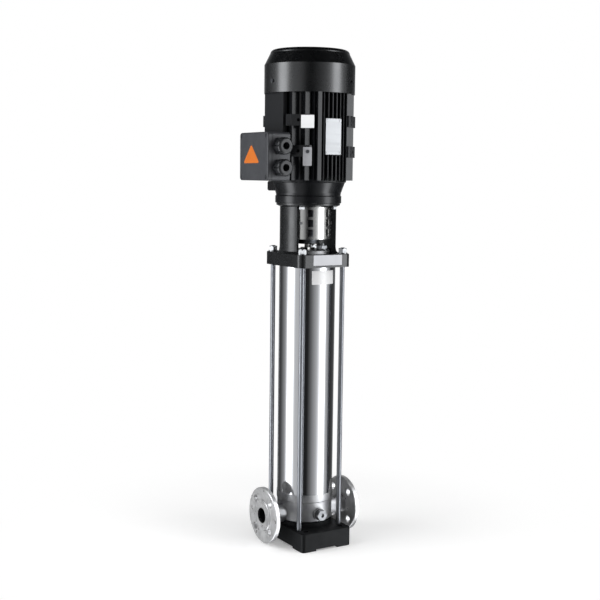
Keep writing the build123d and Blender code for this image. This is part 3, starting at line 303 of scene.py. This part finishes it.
def turned_stainless():
    """Stainless steel, turned on a lathe: pale and satin, cloudy where the cuts scatter the light."""
    skin = Finish("turned_stainless", "#c8c6c2", metallic=0.7, roughness=0.34)
    skin.mottled(22 * MM, "#bcbcbc", "#d8d8d8")
    # painted shade inside the ports' bore
    skin.painted_bore_shade()
    skin.grain(14 * MM, 0.03 * MM)
    skin.patchy(12 * MM, 0.26, 0.42)
    return skin.material


def polished_stainless():
    """Stainless tube, rolled and polished: a mirror with faint lengthwise waves."""
    skin = Finish("polished_stainless", "#cdcdce", metallic=1.0, roughness=0.06)
    lengthwise = skin.stretched(1.0, 1.0, 0.04)
    skin.grain(14 * MM, 0.01 * MM, lengthwise)
    skin.patchy(30 * MM, 0.05, 0.09, lengthwise)
    return skin.material


def bright_sheet():
    """Stainless sheet with a bright rolled face: clear reflections, slightly blurred."""
    skin = Finish("bright_sheet", "#c6c5c2", metallic=1.0, roughness=0.2)
    skin.grain(30 * MM, 0.05 * MM)
    skin.patchy(18 * MM, 0.17, 0.25)
    return skin.material


def drawn_bar():
    """Stainless bar, cold-drawn: bright, with lengthwise die lines."""
    skin = Finish("drawn_bar", "#84868a", metallic=1.0, roughness=0.42)
    lengthwise = skin.stretched(1.0, 1.0, 0.02)
    skin.patchy(9 * MM, 0.38, 0.48, lengthwise)
    return skin.material


def plated_steel():
    """Zinc-plated steel fasteners: bright and slightly cloudy."""
    skin = Finish("plated_steel", "#8a8b8d", metallic=1.0, roughness=0.3)
    skin.mottled(6 * MM, "#7d7e80", "#989999")
    skin.patchy(5 * MM, 0.25, 0.37)
    return skin.material


def pressed_stainless():
    """Stainless sheet, deep-drawn: semi-bright with soft draw waves."""
    skin = Finish("pressed_stainless", "#bcbbb8", metallic=1.0, roughness=0.26)
    skin.grain(20 * MM, 0.05 * MM)
    skin.patchy(12 * MM, 0.22, 0.34)
    return skin.material


def machined_steel(name, colour, roughness):
    """Bare machined steel: mid grey, faintly oily."""
    skin = Finish(name, colour, metallic=1.0, roughness=roughness)
    skin.patchy(8 * MM, roughness * 0.8, roughness * 1.3)
    skin.grain(3 * MM, 0.02 * MM)
    return skin.material


def laminated_steel():
    """Stacked electrical sheet: dark steel with a fine line at each sheet, drawn at 2 mm to show."""
    skin = Finish("laminated_steel", "#5f6163", metallic=1.0, roughness=0.45)
    bands = add(skin.tree, "TexWave", {"bands_direction": "Z"},
                {"Vector": skin.place, "Scale": 0.314 / (2 * MM)})
    skin.relief(bands.outputs["Fac"], 0.05 * MM)
    return skin.material


def enamelled_wire():
    """Varnished copper windings: red-brown metal under a clear glossy varnish."""
    skin = Finish("enamelled_wire", "#a8572c", metallic=1.0, roughness=0.3,
                  coat_weight=0.6, coat_roughness=0.15)
    skin.mottled(4 * MM, "#934a25", "#b96435")
    skin.grain(1.2 * MM, 0.15 * MM)
    return skin.material


def bearing_bronze():
    """Sintered bronze bushes: warm and matt, slightly porous."""
    skin = Finish("bearing_bronze", "#b08a52", metallic=1.0, roughness=0.38)
    skin.grain(0.8 * MM, 0.03 * MM)
    return skin.material


def moulded_rubber():
    """EPDM rubber, press-moulded: near-black and matt, with a soft bloom."""
    skin = Finish("moulded_rubber", "#17181a", roughness=0.68, ior=1.52)
    skin.mottled(8 * MM, "#131416", "#1e1f21")
    skin.grain(1.0 * MM, 0.03 * MM)
    return skin.material


def pressed_fibre():
    """Vulcanised fibre washers: dull dark grey with a fibrous fleck."""
    skin = Finish("pressed_fibre", "#3c3c3d", roughness=0.75, ior=1.5)
    skin.mottled(2 * MM, "#323233", "#464647")
    skin.grain(0.8 * MM, 0.05 * MM)
    return skin.material


def painted_aluminium(colour):
    """Aluminium, die-cast and sprayed: satin black with a light orange peel, dry and dull on the fins.

    The fins are where |x| is over FIN_DEPTH, and where |y| is over FIN_DEPTH and x lies past the wide rib,
    which stands on the -X side in front and on the +X side behind.
    """
    skin = Finish("painted_aluminium", colour, roughness=0.2, ior=1.5, specular_ior_level=0.35)
    skin.grain(2.2 * MM, 0.03 * MM)
    skin.patchy(30 * MM, 0.17, 0.26)
    axes = add(skin.tree, "SeparateXYZ", {}, {"Vector": skin.place})
    side = add(skin.tree, "Math", {"operation": "SIGN"}, {0: axes.outputs["Y"]})
    across = add(skin.tree, "Math", {"operation": "MULTIPLY"}, {0: axes.outputs["X"], 1: side.outputs[0]})
    past_rib = add(skin.tree, "Math", {"operation": "LESS_THAN"}, {0: across.outputs[0], 1: FIN_START})
    outer = {}
    for axis in "XY":
        reach = add(skin.tree, "Math", {"operation": "ABSOLUTE"}, {0: axes.outputs[axis]})
        outer[axis] = add(skin.tree, "Math", {"operation": "GREATER_THAN"},
                          {0: reach.outputs[0], 1: FIN_DEPTH})
    flat_fins = add(skin.tree, "Math", {"operation": "MULTIPLY"},
                    {0: past_rib.outputs[0], 1: outer["Y"].outputs[0]})
    fins = add(skin.tree, "Math", {"operation": "MAXIMUM"},
               {0: flat_fins.outputs[0], 1: outer["X"].outputs[0]})
    dry = add(skin.tree, "Math", {"operation": "MULTIPLY"}, {0: fins.outputs[0], 1: FIN_ROUGHNESS})
    sprayed = skin.shader.inputs["Roughness"].links[0].from_socket
    rough = add(skin.tree, "Math", {"operation": "MAXIMUM"}, {0: sprayed, 1: dry.outputs[0]})
    skin.feed("Roughness", rough.outputs[0])
    return skin.material


def stove_enamel(colour):
    """Steel sheet, deep-drawn and stove-enamelled: gloss black with the faintest orange peel."""
    skin = Finish("stove_enamel", colour, roughness=0.27, ior=1.5, coat_weight=0.7, coat_roughness=0.2)
    skin.grain(3 * MM, 0.012 * MM)
    skin.patchy(40 * MM, 0.23, 0.31)
    return skin.material


def textured_paint(colour):
    """Aluminium box, powder-coated: dark grey-blue, low sheen, with the coat's fine pebbled skin."""
    skin = Finish("textured_paint", colour, roughness=0.45, ior=1.5)
    skin.mottled(25 * MM, colour, "#333437")
    skin.grain(1.6 * MM, 0.06 * MM)
    return skin.material


def moulded_nylon(name, colour):
    """Nylon, injection-moulded: dark with a soft waxy shine."""
    skin = Finish(name, colour, roughness=0.36, ior=1.53)
    skin.grain(0.9 * MM, 0.02 * MM)
    skin.patchy(10 * MM, 0.3, 0.44)
    return skin.material


def block_plastic():
    """Melamine moulding of the terminal block: pale and even, semi-matt."""
    skin = Finish("melamine", "#c9c4b4", roughness=0.5, ior=1.55)
    skin.mottled(5 * MM, "#c2bdac", "#d0cbbc")
    return skin.material


def blackened_steel():
    """Blackened steel screws, worn bright at their heads: dark with a metallic glint."""
    skin = Finish("blackened_steel", "#5c5d60", metallic=1.0, roughness=0.36)
    skin.patchy(4 * MM, 0.3, 0.46)
    return skin.material


def anodised_plate():
    """Aluminium plate, brushed and anodised: silver-white, its brushing lengthwise."""
    skin = Finish("anodised_plate", "#a2a3a4", metallic=1.0, roughness=0.5)
    brushed = skin.stretched(0.05, 1.0, 1.0)
    skin.grain(1.2 * MM, 0.01 * MM, brushed)
    skin.patchy(6 * MM, 0.46, 0.56, brushed)
    return skin.material


def label_film(name, colour, roughness):
    """Polyester label film: smooth, flat and slightly glossy, bare."""
    skin = Finish(name, colour, roughness=roughness, ior=1.57)
    skin.grain(4 * MM, 0.008 * MM)
    skin.patchy(20 * MM, roughness * 0.85, roughness * 1.2)
    return skin.material


# ---------------------------------------------------------------- surfaces from numpy grids
def grid_faces(rows, columns, wrap_rows=False):
    """Quads of a grid of points whose columns go round; wrapped rows join their last line to their first."""
    r = np.arange(rows if wrap_rows else rows - 1)[:, None]
    c = np.arange(columns)[None, :]
    s, d = (r + 1) % rows, (c + 1) % columns
    quads = np.stack([r * columns + c, r * columns + d, s * columns + d, s * columns + c], -1)
    return quads.reshape(-1, 4)


def piece_from(name, points, faces, material, body):
    """A piece of the pump from points and faces, smooth except at edges sharper than 35 degrees."""
    mesh = bpy.data.meshes.new(name)
    mesh.from_pydata(points.reshape(-1, 3).tolist(), [], faces)
    mesh.validate()
    mesh.shade_smooth()
    mesh.set_sharp_from_angle(angle=radians(35))
    mesh.materials.append(material)
    piece = bpy.data.objects.new(name, mesh)
    bpy.context.scene.collection.objects.link(piece)
    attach(piece, body)
    return piece


def rounded_outline(size, corner, step):
    """Points round a rounded rectangle, anticlockwise: quarter circles joined by straights cut into steps."""
    half_w = size[0] / 2
    half_h = size[1] / 2
    bend = np.linspace(0, pi / 2, 7)
    centres = ((1, 1), (-1, 1), (-1, -1), (1, -1))
    parts = []
    for k, (sx, sy) in enumerate(centres):
        turn = bend + k * pi / 2
        arc = np.stack([sx * (half_w - corner) + corner * np.cos(turn),
                        sy * (half_h - corner) + corner * np.sin(turn)], -1)
        span = 2 * ((half_h if k % 2 else half_w) - corner)
        count = max(2, int(span / step))
        along = np.linspace(0, 1, count, endpoint=False)[1:, None]
        ahead = np.array([(-1, 0), (0, -1), (1, 0), (0, 1)][k]) * span
        parts += [arc, arc[-1] + along * ahead]
    return np.concatenate(parts)


def rounded_triangle(size, corner):
    """Points round a triangle that stands on its base, anticlockwise: three arcs, stretched to its width."""
    width, height = size
    reach = (height - 2 * corner) / 1.5
    bearing = pi / 2 + np.arange(3)[:, None] * 2 * pi / 3
    bend = bearing + np.linspace(-pi / 3, pi / 3, 9)
    u = reach * np.cos(bearing) + corner * np.cos(bend)
    v = reach * np.sin(bearing) + corner * np.sin(bend)
    return np.stack([u.ravel() * width / (3 ** 0.5 * reach + 2 * corner), v.ravel()], -1)


def flat(origin, turn):
    """Points on an upright plane through origin that faces the turn: origin + u across + v up + w out."""
    origin = np.array(origin)
    out = np.array([cos(turn), sin(turn), 0])
    across = np.array([-sin(turn), cos(turn), 0])

    def place(u, v, w):
        return origin + u[:, None] * across + v[:, None] * np.array([0, 0, 1]) + w * out
    return place


def on_lug(across, height):
    """Points on the face of the lugs that carry signs, from a middle that lies across and up on it."""
    x = LUG_FACE * cos(LUG_TURN) - across * sin(LUG_TURN)
    y = LUG_FACE * sin(LUG_TURN) + across * cos(LUG_TURN)
    return flat((x, y, height), LUG_TURN)


def disc(radius):
    """Points round a circle, anticlockwise: radius (cos t, sin t)."""
    turn = np.linspace(0, 2 * pi, 24, endpoint=False)
    return radius * np.stack([np.cos(turn), np.sin(turn)], -1)


def bent(radius, turn, height):
    """Points on an upright drum: (r + w) (cos(t + u/r), sin(t + u/r)) and height + v."""
    def place(u, v, w):
        angle = turn + u / radius
        return np.stack([(radius + w) * np.cos(angle), (radius + w) * np.sin(angle), height + v], -1)
    return place


def plate(name, outline, thick, place, material, step):
    """Thin plate with broken edges, laid on a surface with a hair's breadth between them.

    Rings of the outline shrink towards the middle of its back and front; place(u, v, w) gives the point
    at u across, v up and w out from the surface, so the plate may be flat or bent. It is closed all round.
    """
    half = np.abs(outline).max(axis=0)
    edge = min(0.15 * MM, thick * 0.4)
    inner = outline * (1 - edge / half)
    shares = np.linspace(1, 0, max(3, round(half[0] / step)) + 1)[1:-1]
    rings = [(outline * share, 0.0) for share in (*shares[::-1], 1.0)]
    rings += [(outline, thick - edge), (inner, thick)]
    rings += [(inner * share, thick) for share in shares]
    points = np.stack([place(ring[:, 0], ring[:, 1], PLATE_GAP + level) for ring, level in rings])
    rows, columns = points.shape[:2]
    faces = grid_faces(rows, columns).tolist()
    faces += [list(range(columns))[::-1], list(range((rows - 1) * columns, rows * columns))]
    return piece_from(name, points, faces, material, "root")


def turned_ring(name, profile, columns, material):
    """A closed turned ring: each (radius, height) of a closed profile goes once round the Z axis.

    The profile's last point joins its first, so the grid of points wraps both ways.
    """
    profile = np.array(profile, float)
    turn = np.linspace(0, 2 * pi, columns, endpoint=False)
    x = profile[:, :1] * np.cos(turn)
    y = profile[:, :1] * np.sin(turn)
    z = np.repeat(profile[:, 1:], columns, 1)
    faces = grid_faces(len(profile), columns, wrap_rows=True).tolist()
    return piece_from(name, np.stack([x, y, z], -1), faces, material, "root")


# ---------------------------------------------------------------- operators
def coat(names, material):
    """Give CAD nodes a material in their own slots."""
    for name in names:
        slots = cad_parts[name].material_slots
        if not slots:
            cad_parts[name].data.materials.append(material)
        for slot in slots:
            slot.material = material


class PUMP_OT_castings(bpy.types.Operator):
    """Finish the coated iron base and motor stool and the cast stainless chamber and head"""

    bl_idname = "pump.castings"
    bl_label = "Castings"

    def execute(self, context):
        colours = context.scene.pump_colours
        coat(["base_frame"], coated_iron(colours.casting))
        coat(["motor_stool"], sprayed_iron(colours.casting))
        coat(["pump_chamber", "head_cover"], blasted_stainless())
        return {"FINISHED"}


class PUMP_OT_port_flanges(bpy.types.Operator):
    """Finish the lap collars and loose flanges of the two ports"""

    bl_idname = "pump.port_flanges"
    bl_label = "Port flanges"

    def execute(self, context):
        coat(["inlet_collar", "outlet_collar", "inlet_flange", "outlet_flange"], turned_stainless())
        return {"FINISHED"}


class PUMP_OT_outer_sleeve(bpy.types.Operator):
    """Make the polished sleeve as a fine turned tube in place of the frame's faceted one"""

    bl_idname = "pump.outer_sleeve"
    bl_label = "Outer sleeve"

    def execute(self, context):
        low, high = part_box("outer_sleeve")
        outer = high.x
        inner = outer - context.scene.pump_sizes.sleeve_wall
        profile = [(outer, low.z), (outer, high.z), (inner, high.z), (inner, low.z)]
        sleeve = turned_ring("polished_sleeve", profile, SLEEVE_FACETS, polished_stainless())
        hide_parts("outer_sleeve")
        return {"FINISHED"}


class PUMP_OT_fasteners(bpy.types.Operator):
    """Finish rods, nuts, washers, bolts, plugs and screws"""

    bl_idname = "pump.fasteners"
    bl_label = "Fasteners"

    def execute(self, context):
        coat(["tie_rods"], drawn_bar())
        coat(["tie_rod_nuts", "tie_rod_washers", "stool_bolts", "guard_screws",
              "coupling_screws", "coupling_pin"], plated_steel())
        coat(["drain_plug", "priming_plug", "vent_screw"], machined_steel("turned_plugs", "#77787a", 0.36))
        coat(["fan_cover_screws", "lid_screws"], blackened_steel())
        coat(["drain_washer", "priming_washer"], pressed_fibre())
        return {"FINISHED"}


class PUMP_OT_guards(bpy.types.Operator):
    """Finish the two coupling guards and the coupling behind them"""

    bl_idname = "pump.guards"
    bl_label = "Coupling and guards"

    def execute(self, context):
        coat(["coupling_guard_front", "coupling_guard_rear"], bright_sheet())
        coat(["coupling_half_front", "coupling_half_rear"], machined_steel("cast_coupling", "#56585b", 0.42))
        return {"FINISHED"}


class PUMP_OT_hydraulics(bpy.types.Operator):
    """Finish the shaft, stages, seal and rubber rings inside the pump"""

    bl_idname = "pump.hydraulics"
    bl_label = "Inner pump parts"

    def execute(self, context):
        coat(["pump_shaft", "shaft_nut", "seal_carrier", "seal_rotating_part"],
             machined_steel("ground_stainless", "#c4c3c0", 0.18))
        coat(["suction_piece", "stage_bowls", "return_vanes", "top_piece", "impellers"], pressed_stainless())
        coat(["shaft_bushes"], bearing_bronze())
        coat(["sleeve_o_rings", "shaft_seal_ring", "terminal_box_gasket", "gland_seals"], moulded_rubber())
        return {"FINISHED"}


class PUMP_OT_motor(bpy.types.Operator):
    """Finish the motor frame, end shields, rating plate and the parts inside"""

    bl_idname = "pump.motor"
    bl_label = "Motor"

    def execute(self, context):
        colours = context.scene.pump_colours
        coat(["end_shield_drive", "motor_frame", "end_shield_fan"], painted_aluminium(colours.motor))
        coat(["rating_plate"], anodised_plate())
        coat(["stator_core", "rotor_core"], laminated_steel())
        coat(["stator_windings"], enamelled_wire())
        coat(["motor_shaft", "shaft_key", "bearing_outer_rings", "bearing_inner_rings", "bearing_balls"],
             machined_steel("turned_steel", "#9a9b9d", 0.24))
        return {"FINISHED"}


class PUMP_OT_fan(bpy.types.Operator):
    """Finish the fan and its cover"""

    bl_idname = "pump.fan"
    bl_label = "Fan and cover"

    def execute(self, context):
        coat(["fan_cover"], stove_enamel(context.scene.pump_colours.fan_cover))
        coat(["cooling_fan"], moulded_nylon("fan_nylon", "#202124"))
        return {"FINISHED"}


class PUMP_OT_terminal_box(bpy.types.Operator):
    """Finish the terminal box, its lid, terminal block and cable glands"""

    bl_idname = "pump.terminal_box"
    bl_label = "Terminal box"

    def execute(self, context):
        coat(["terminal_box", "terminal_box_lid"], textured_paint(context.scene.pump_colours.box))
        coat(["terminal_block"], block_plastic())
        coat(["gland_bodies", "gland_nuts"], moulded_nylon("gland_nylon", "#0f1012"))
        return {"FINISHED"}


class PUMP_OT_bare_plates(bpy.types.Operator):
    """Lay the bare head label, sleeve label, sign plates, rivets and lid marker on the pump"""

    bl_idname = "pump.bare_plates"
    bl_label = "Bare plates and labels"

    def lay(self, name, outline, thick, place, material, step=PLATE_STEP, slot=None):
        """One plate. Its slot argument, the record's name for its material, is not used."""
        made = plate(name, outline, thick, place, material, step)

    def execute(self, context):
        sizes = context.scene.pump_sizes
        film = sizes.film_thick
        sign = sizes.sign_thick
        white = label_film("white_film", "#cfcfd0", 0.3)
        silver = label_film("silver_film", "#a6a7ab", 0.34)
        enamel = label_film("enamel_white", "#e8e9ea", 0.2)
        marker = label_film("marker_film", context.scene.pump_colours.marker, 0.5)
        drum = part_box("outer_sleeve")[1]
        stool_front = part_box("motor_stool")[0].y
        lid_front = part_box("terminal_box_lid")[0].x
        rating_low, rating_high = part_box("rating_plate")

        along, rise = HEAD_LABEL_AT
        outline = rounded_outline(sizes.head_label, LABEL_CORNER, PLATE_STEP)
        place = flat((along, stool_front, drum.z + rise), -pi / 2)
        self.lay("head_label", outline, film, place, silver)

        outline = rounded_outline(sizes.sleeve_label, LABEL_CORNER, BENT_STEP)
        place = bent(drum.x, *SLEEVE_LABEL_AT)
        self.lay("sleeve_label", outline, film, place, white, step=BENT_STEP)

        outline = rounded_outline(sizes.upper_sign, SIGN_CORNER, PLATE_STEP)
        self.lay("upper_sign", outline, sign, on_lug(*UPPER_SIGN_AT), enamel)

        outline = rounded_outline(sizes.lower_sign, LABEL_CORNER, PLATE_STEP)
        self.lay("lower_sign", outline, sign, on_lug(*LOWER_SIGN_AT), silver)

        radius, thick = SCREW_HEAD
        place = on_lug(*LOWER_SCREW_AT)
        self.lay("lower_sign_screw", disc(radius), thick, place, blackened_steel(), slot="black_screw")

        along, height = LID_MARKER_AT
        outline = rounded_triangle(sizes.lid_marker, MARKER_CORNER)
        self.lay("lid_marker", outline, film, flat((lid_front, along, height), pi), marker)

        radius, thick = RIVET_HEAD
        for k in range(4):
            x = (rating_low.x + RIVET_INSET, rating_high.x - RIVET_INSET)[k % 2]
            z = (rating_low.z + RIVET_INSET, rating_high.z - RIVET_INSET)[k // 2]
            place = flat((x, rating_low.y, z), -pi / 2)
            self.lay(f"rating_rivet_{k + 1}", disc(radius), thick, place, silver, slot="plate_aluminium")
        return {"FINISHED"}


class PUMP_OT_stage(bpy.types.Operator):
    """Set up the floor, the white backdrop, the lamps, the tent and the camera"""

    bl_idname = "pump.stage"
    bl_label = "Studio"

    def execute(self, context):
        studio = context.scene.pump_studio
        make_world(studio)
        make_floor()
        for name, (turn, width) in LAMPS.items():
            softbox(name, studio.bearing + radians(turn), width, studio.softbox)
        make_tent(studio)
        place_camera(context.scene, studio)
        context.scene.view_settings.view_transform = "Standard"
        return {"FINISHED"}


# ---------------------------------------------------------------- studio
def make_world(studio):
    """White where the camera, metal or glass looks at it, and a mild even fill for matt surfaces."""
    world = bpy.data.worlds.new("studio")
    world.use_nodes = True
    bpy.context.scene.world = world
    tree = world.node_tree
    shader = tree.nodes["Background"]
    rays = add(tree, "LightPath", {}, {})
    seen = add(tree, "Math", {"operation": "ADD"},
               {0: rays.outputs["Is Camera Ray"], 1: rays.outputs["Is Glossy Ray"]})
    seen = add(tree, "Math", {"operation": "ADD"},
               {0: seen.outputs[0], 1: rays.outputs["Is Transmission Ray"]})
    level = add(tree, "MapRange", {}, {"Value": seen.outputs[0], "To Min": studio.fill, "To Max": 1.0})
    tree.links.new(level.outputs["Result"], shader.inputs["Strength"])
    shader.inputs["Color"].default_value = (1, 1, 1, 1)


def make_floor():
    """Pale floor: it takes the pump's shadow near the pump and turns into the white backdrop further off."""
    turn = np.linspace(0, 2 * pi, ROUND, endpoint=False)
    reach = np.array(FLOOR_RINGS)[:, None]
    points = np.stack([reach * np.cos(turn), reach * np.sin(turn), np.zeros((4, ROUND))], -1)
    faces = grid_faces(4, ROUND)[:, ::-1].tolist() + [list(range(ROUND))]  # turned over, to face up
    mesh = bpy.data.meshes.new("floor")
    mesh.from_pydata(points.reshape(-1, 3).tolist(), [], faces)
    material = bpy.data.materials.new("floor_paint")
    material.use_nodes = True
    tree = material.node_tree
    tree.nodes.remove(tree.nodes["Principled BSDF"])
    place = add(tree, "TexCoord", {}, {}).outputs["Object"]
    away = add(tree, "VectorMath", {"operation": "LENGTH"}, {0: place})
    far = add(tree, "MapRange", {"interpolation_type": "SMOOTHSTEP"},
              {"Value": away.outputs["Value"], "From Min": FLOOR_FADE[0], "From Max": FLOOR_FADE[1]})
    matt = add(tree, "BsdfDiffuse", {}, {"Color": (0.92, 0.92, 0.92, 1)})
    lift = add(tree, "Emission", {}, {"Color": (1, 1, 1, 1), "Strength": 0.2})
    near = add(tree, "AddShader", {}, {0: matt.outputs[0], 1: lift.outputs[0]})
    white = add(tree, "Emission", {}, {"Color": (1, 1, 1, 1), "Strength": 1.0})
    blend = add(tree, "MixShader", {}, {0: far.outputs["Result"], 1: near.outputs[0], 2: white.outputs[0]})
    tree.links.new(blend.outputs[0], tree.nodes["Material Output"].inputs["Surface"])
    mesh.materials.append(material)
    floor = bpy.data.objects.new("floor", mesh)
    floor.visible_glossy = False
    bpy.context.scene.collection.objects.link(floor)


def facing(origin, aim):
    """A turn and place whose local -Z looks from origin to aim with local Y upright."""
    back = (origin - aim).normalized()
    right = Vector((0, 0, 1)).cross(back).normalized()
    up = back.cross(right)
    turn = Matrix((right, up, back)).transposed().to_4x4()
    return Matrix.Translation(origin) @ turn


def softbox(name, turn, width, radiance):
    """Tall softbox at a turn about the pump's axis: an area lamp whose power is radiance x pi x its area."""
    lamp = bpy.data.lights.new("softbox_" + name, "AREA")
    lamp.shape = "RECTANGLE"
    lamp.size = width
    lamp.size_y = LAMP_HEIGHT
    lamp.energy = radiance * pi * width * LAMP_HEIGHT
    piece = bpy.data.objects.new("softbox_" + name, lamp)
    piece.visible_glossy = False
    bpy.context.scene.collection.objects.link(piece)
    origin = LAMP_AIM + Vector((LAMP_DISTANCE * cos(turn), LAMP_DISTANCE * sin(turn), LAMP_RISE))
    piece.matrix_world = facing(origin, LAMP_AIM)


# Cloth panels of the tent: turn from the camera's side in degrees, positive to its right, and brightness.
# A white panel stands on either side, a black one behind the camera, and greys lie between them.
PANELS = (
    (-180, 0.07), (-150, 0.03), (-134, 0.01), (-120, 0.02), (-107, 0.05), (-95, 0.08), (-90, 0.14),
    (-84, 0.25), (-76, 1.0), (-59, 1.0), (-52, 0.25), (-45, 0.14), (-24, 0.12), (-14, 0.06), (-7, 0.004),
    (6, 0.004), (18, 0.03), (36, 0.09), (45, 0.13), (54, 0.26), (63, 1.0), (76, 1.0), (83, 0.22),
    (91, 0.1), (99, 0.08), (105, 0.015), (118, 0.008), (140, 0.015), (180, 0.07))
PANEL_TINT = (0.95, 0.97, 1.0)  # the cloth is faintly blue


def make_tent(studio):
    """Tent of white, grey and black cloth panels round the pump, which only gloss and bright metal see.

    A closed drum round the pump's axis, its faces turned inwards. Its cloth's brightness follows the
    turn about that axis, and fades to black above the panels' upper edge.
    """
    turn = np.linspace(0, 2 * pi, ROUND, endpoint=False)
    reach = np.array([0.01, 1.0, 1.0, 0.01])[:, None] * studio.tent_radius
    level = np.repeat(TENT_ENDS, 2)[:, None] * np.ones(ROUND)
    points = np.stack([reach * np.cos(turn), reach * np.sin(turn), level], -1)
    mesh = bpy.data.meshes.new("tent")
    mesh.from_pydata(points.reshape(-1, 3).tolist(), [], grid_faces(4, ROUND)[:, ::-1].tolist())
    cloth = bpy.data.materials.new("tent_cloth")
    cloth.use_nodes = True
    tree = cloth.node_tree
    tree.nodes.remove(tree.nodes["Principled BSDF"])
    place = add(tree, "TexCoord", {}, {}).outputs["Object"]
    turned = add(tree, "Mapping", {}, {"Vector": place, "Rotation": (0, 0, -studio.bearing)})
    axes = add(tree, "SeparateXYZ", {}, {"Vector": turned.outputs["Vector"]})
    angle = add(tree, "Math", {"operation": "ARCTAN2"}, {0: axes.outputs["Y"], 1: axes.outputs["X"]})
    share = add(tree, "MapRange", {}, {"Value": angle.outputs[0], "From Min": -pi, "From Max": pi})
    panels = add(tree, "ValToRGB", {}, {"Fac": share.outputs["Result"]})
    ramp = panels.color_ramp.elements
    for degrees, _ in PANELS[1:-1]:
        ramp.new((degrees + 180) / 360)
    for stop, (_, bright) in zip(ramp, PANELS):
        stop.color = (*(bright * part for part in PANEL_TINT), 1)
    fade = add(tree, "MapRange", {"interpolation_type": "SMOOTHSTEP"},
               {"Value": axes.outputs["Z"], "From Min": TENT_FADE[0], "From Max": TENT_FADE[1],
                "To Min": studio.tent, "To Max": 0.03})
    glow = add(tree, "Emission", {}, {"Color": panels.outputs["Color"], "Strength": fade.outputs["Result"]})
    tree.links.new(glow.outputs[0], tree.nodes["Material Output"].inputs["Surface"])
    mesh.materials.append(cloth)
    tent = bpy.data.objects.new("tent", mesh)
    bpy.context.scene.collection.objects.link(tent)
    for ray in ("camera", "diffuse", "transmission", "volume_scatter", "shadow"):
        setattr(tent, "visible_" + ray, False)


def place_camera(scene, studio):
    """Camera from its bearing, height, heading, pitch and roll.

    Its back is the way it looks, reversed and tipped up by the pitch; right and up then turn by the roll.
    """
    ahead = Vector((-sin(studio.heading), cos(studio.heading), 0))
    back = -ahead * cos(studio.pitch) + Vector((0, 0, sin(studio.pitch)))
    right = Vector((0, 0, 1)).cross(back).normalized()
    up = back.cross(right)
    rolled_right = right * cos(studio.roll) + up * sin(studio.roll)
    rolled_up = up * cos(studio.roll) - right * sin(studio.roll)
    lens = bpy.data.cameras.new("camera")
    lens.lens = studio.lens
    lens.sensor_width = 36.0
    lens.sensor_fit = "HORIZONTAL"
    camera = bpy.data.objects.new("camera", lens)
    scene.collection.objects.link(camera)
    across = studio.distance * cos(studio.bearing)
    along = studio.distance * sin(studio.bearing)
    turn = Matrix((rolled_right, rolled_up, back)).transposed().to_4x4()
    camera.matrix_world = Matrix.Translation((across, along, studio.height)) @ turn
    scene.camera = camera


# ---------------------------------------------------------------- panel and registering
STEPS = (PUMP_OT_castings, PUMP_OT_port_flanges, PUMP_OT_outer_sleeve, PUMP_OT_fasteners, PUMP_OT_guards,
         PUMP_OT_hydraulics, PUMP_OT_motor, PUMP_OT_fan, PUMP_OT_terminal_box, PUMP_OT_bare_plates,
         PUMP_OT_stage)
GROUPS = {"pump_colours": PumpColours, "pump_sizes": PumpSizes, "pump_studio": PumpStudio}


class PUMP_PT_sidebar(bpy.types.Panel):
    """Lists the pump's settings and steps"""

    bl_idname = "PUMP_PT_sidebar"
    bl_label = "Vertical multistage pump"
    bl_space_type = "VIEW_3D"
    bl_region_type = "UI"
    bl_category = "Pump"

    def draw(self, context):
        for group, kind in GROUPS.items():
            for field in kind.__annotations__:
                self.layout.prop(getattr(context.scene, group), field)
        for step in STEPS:
            self.layout.operator(step.bl_idname)


def register():
    for kind in (*GROUPS.values(), *STEPS, PUMP_PT_sidebar):
        bpy.utils.register_class(kind)
    for group, kind in GROUPS.items():
        setattr(bpy.types.Scene, group, bpy.props.PointerProperty(type=kind))


def unregister():
    for group in GROUPS:
        delattr(bpy.types.Scene, group)
    for kind in (PUMP_PT_sidebar, *reversed(STEPS), *reversed(GROUPS.values())):
        bpy.utils.unregister_class(kind)


def main():
    """Register the add-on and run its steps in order."""
    register()
    for step in STEPS:
        area, name = step.bl_idname.split(".")
        getattr(getattr(bpy.ops, area), name)()


if __name__ == "__main__":
    main()
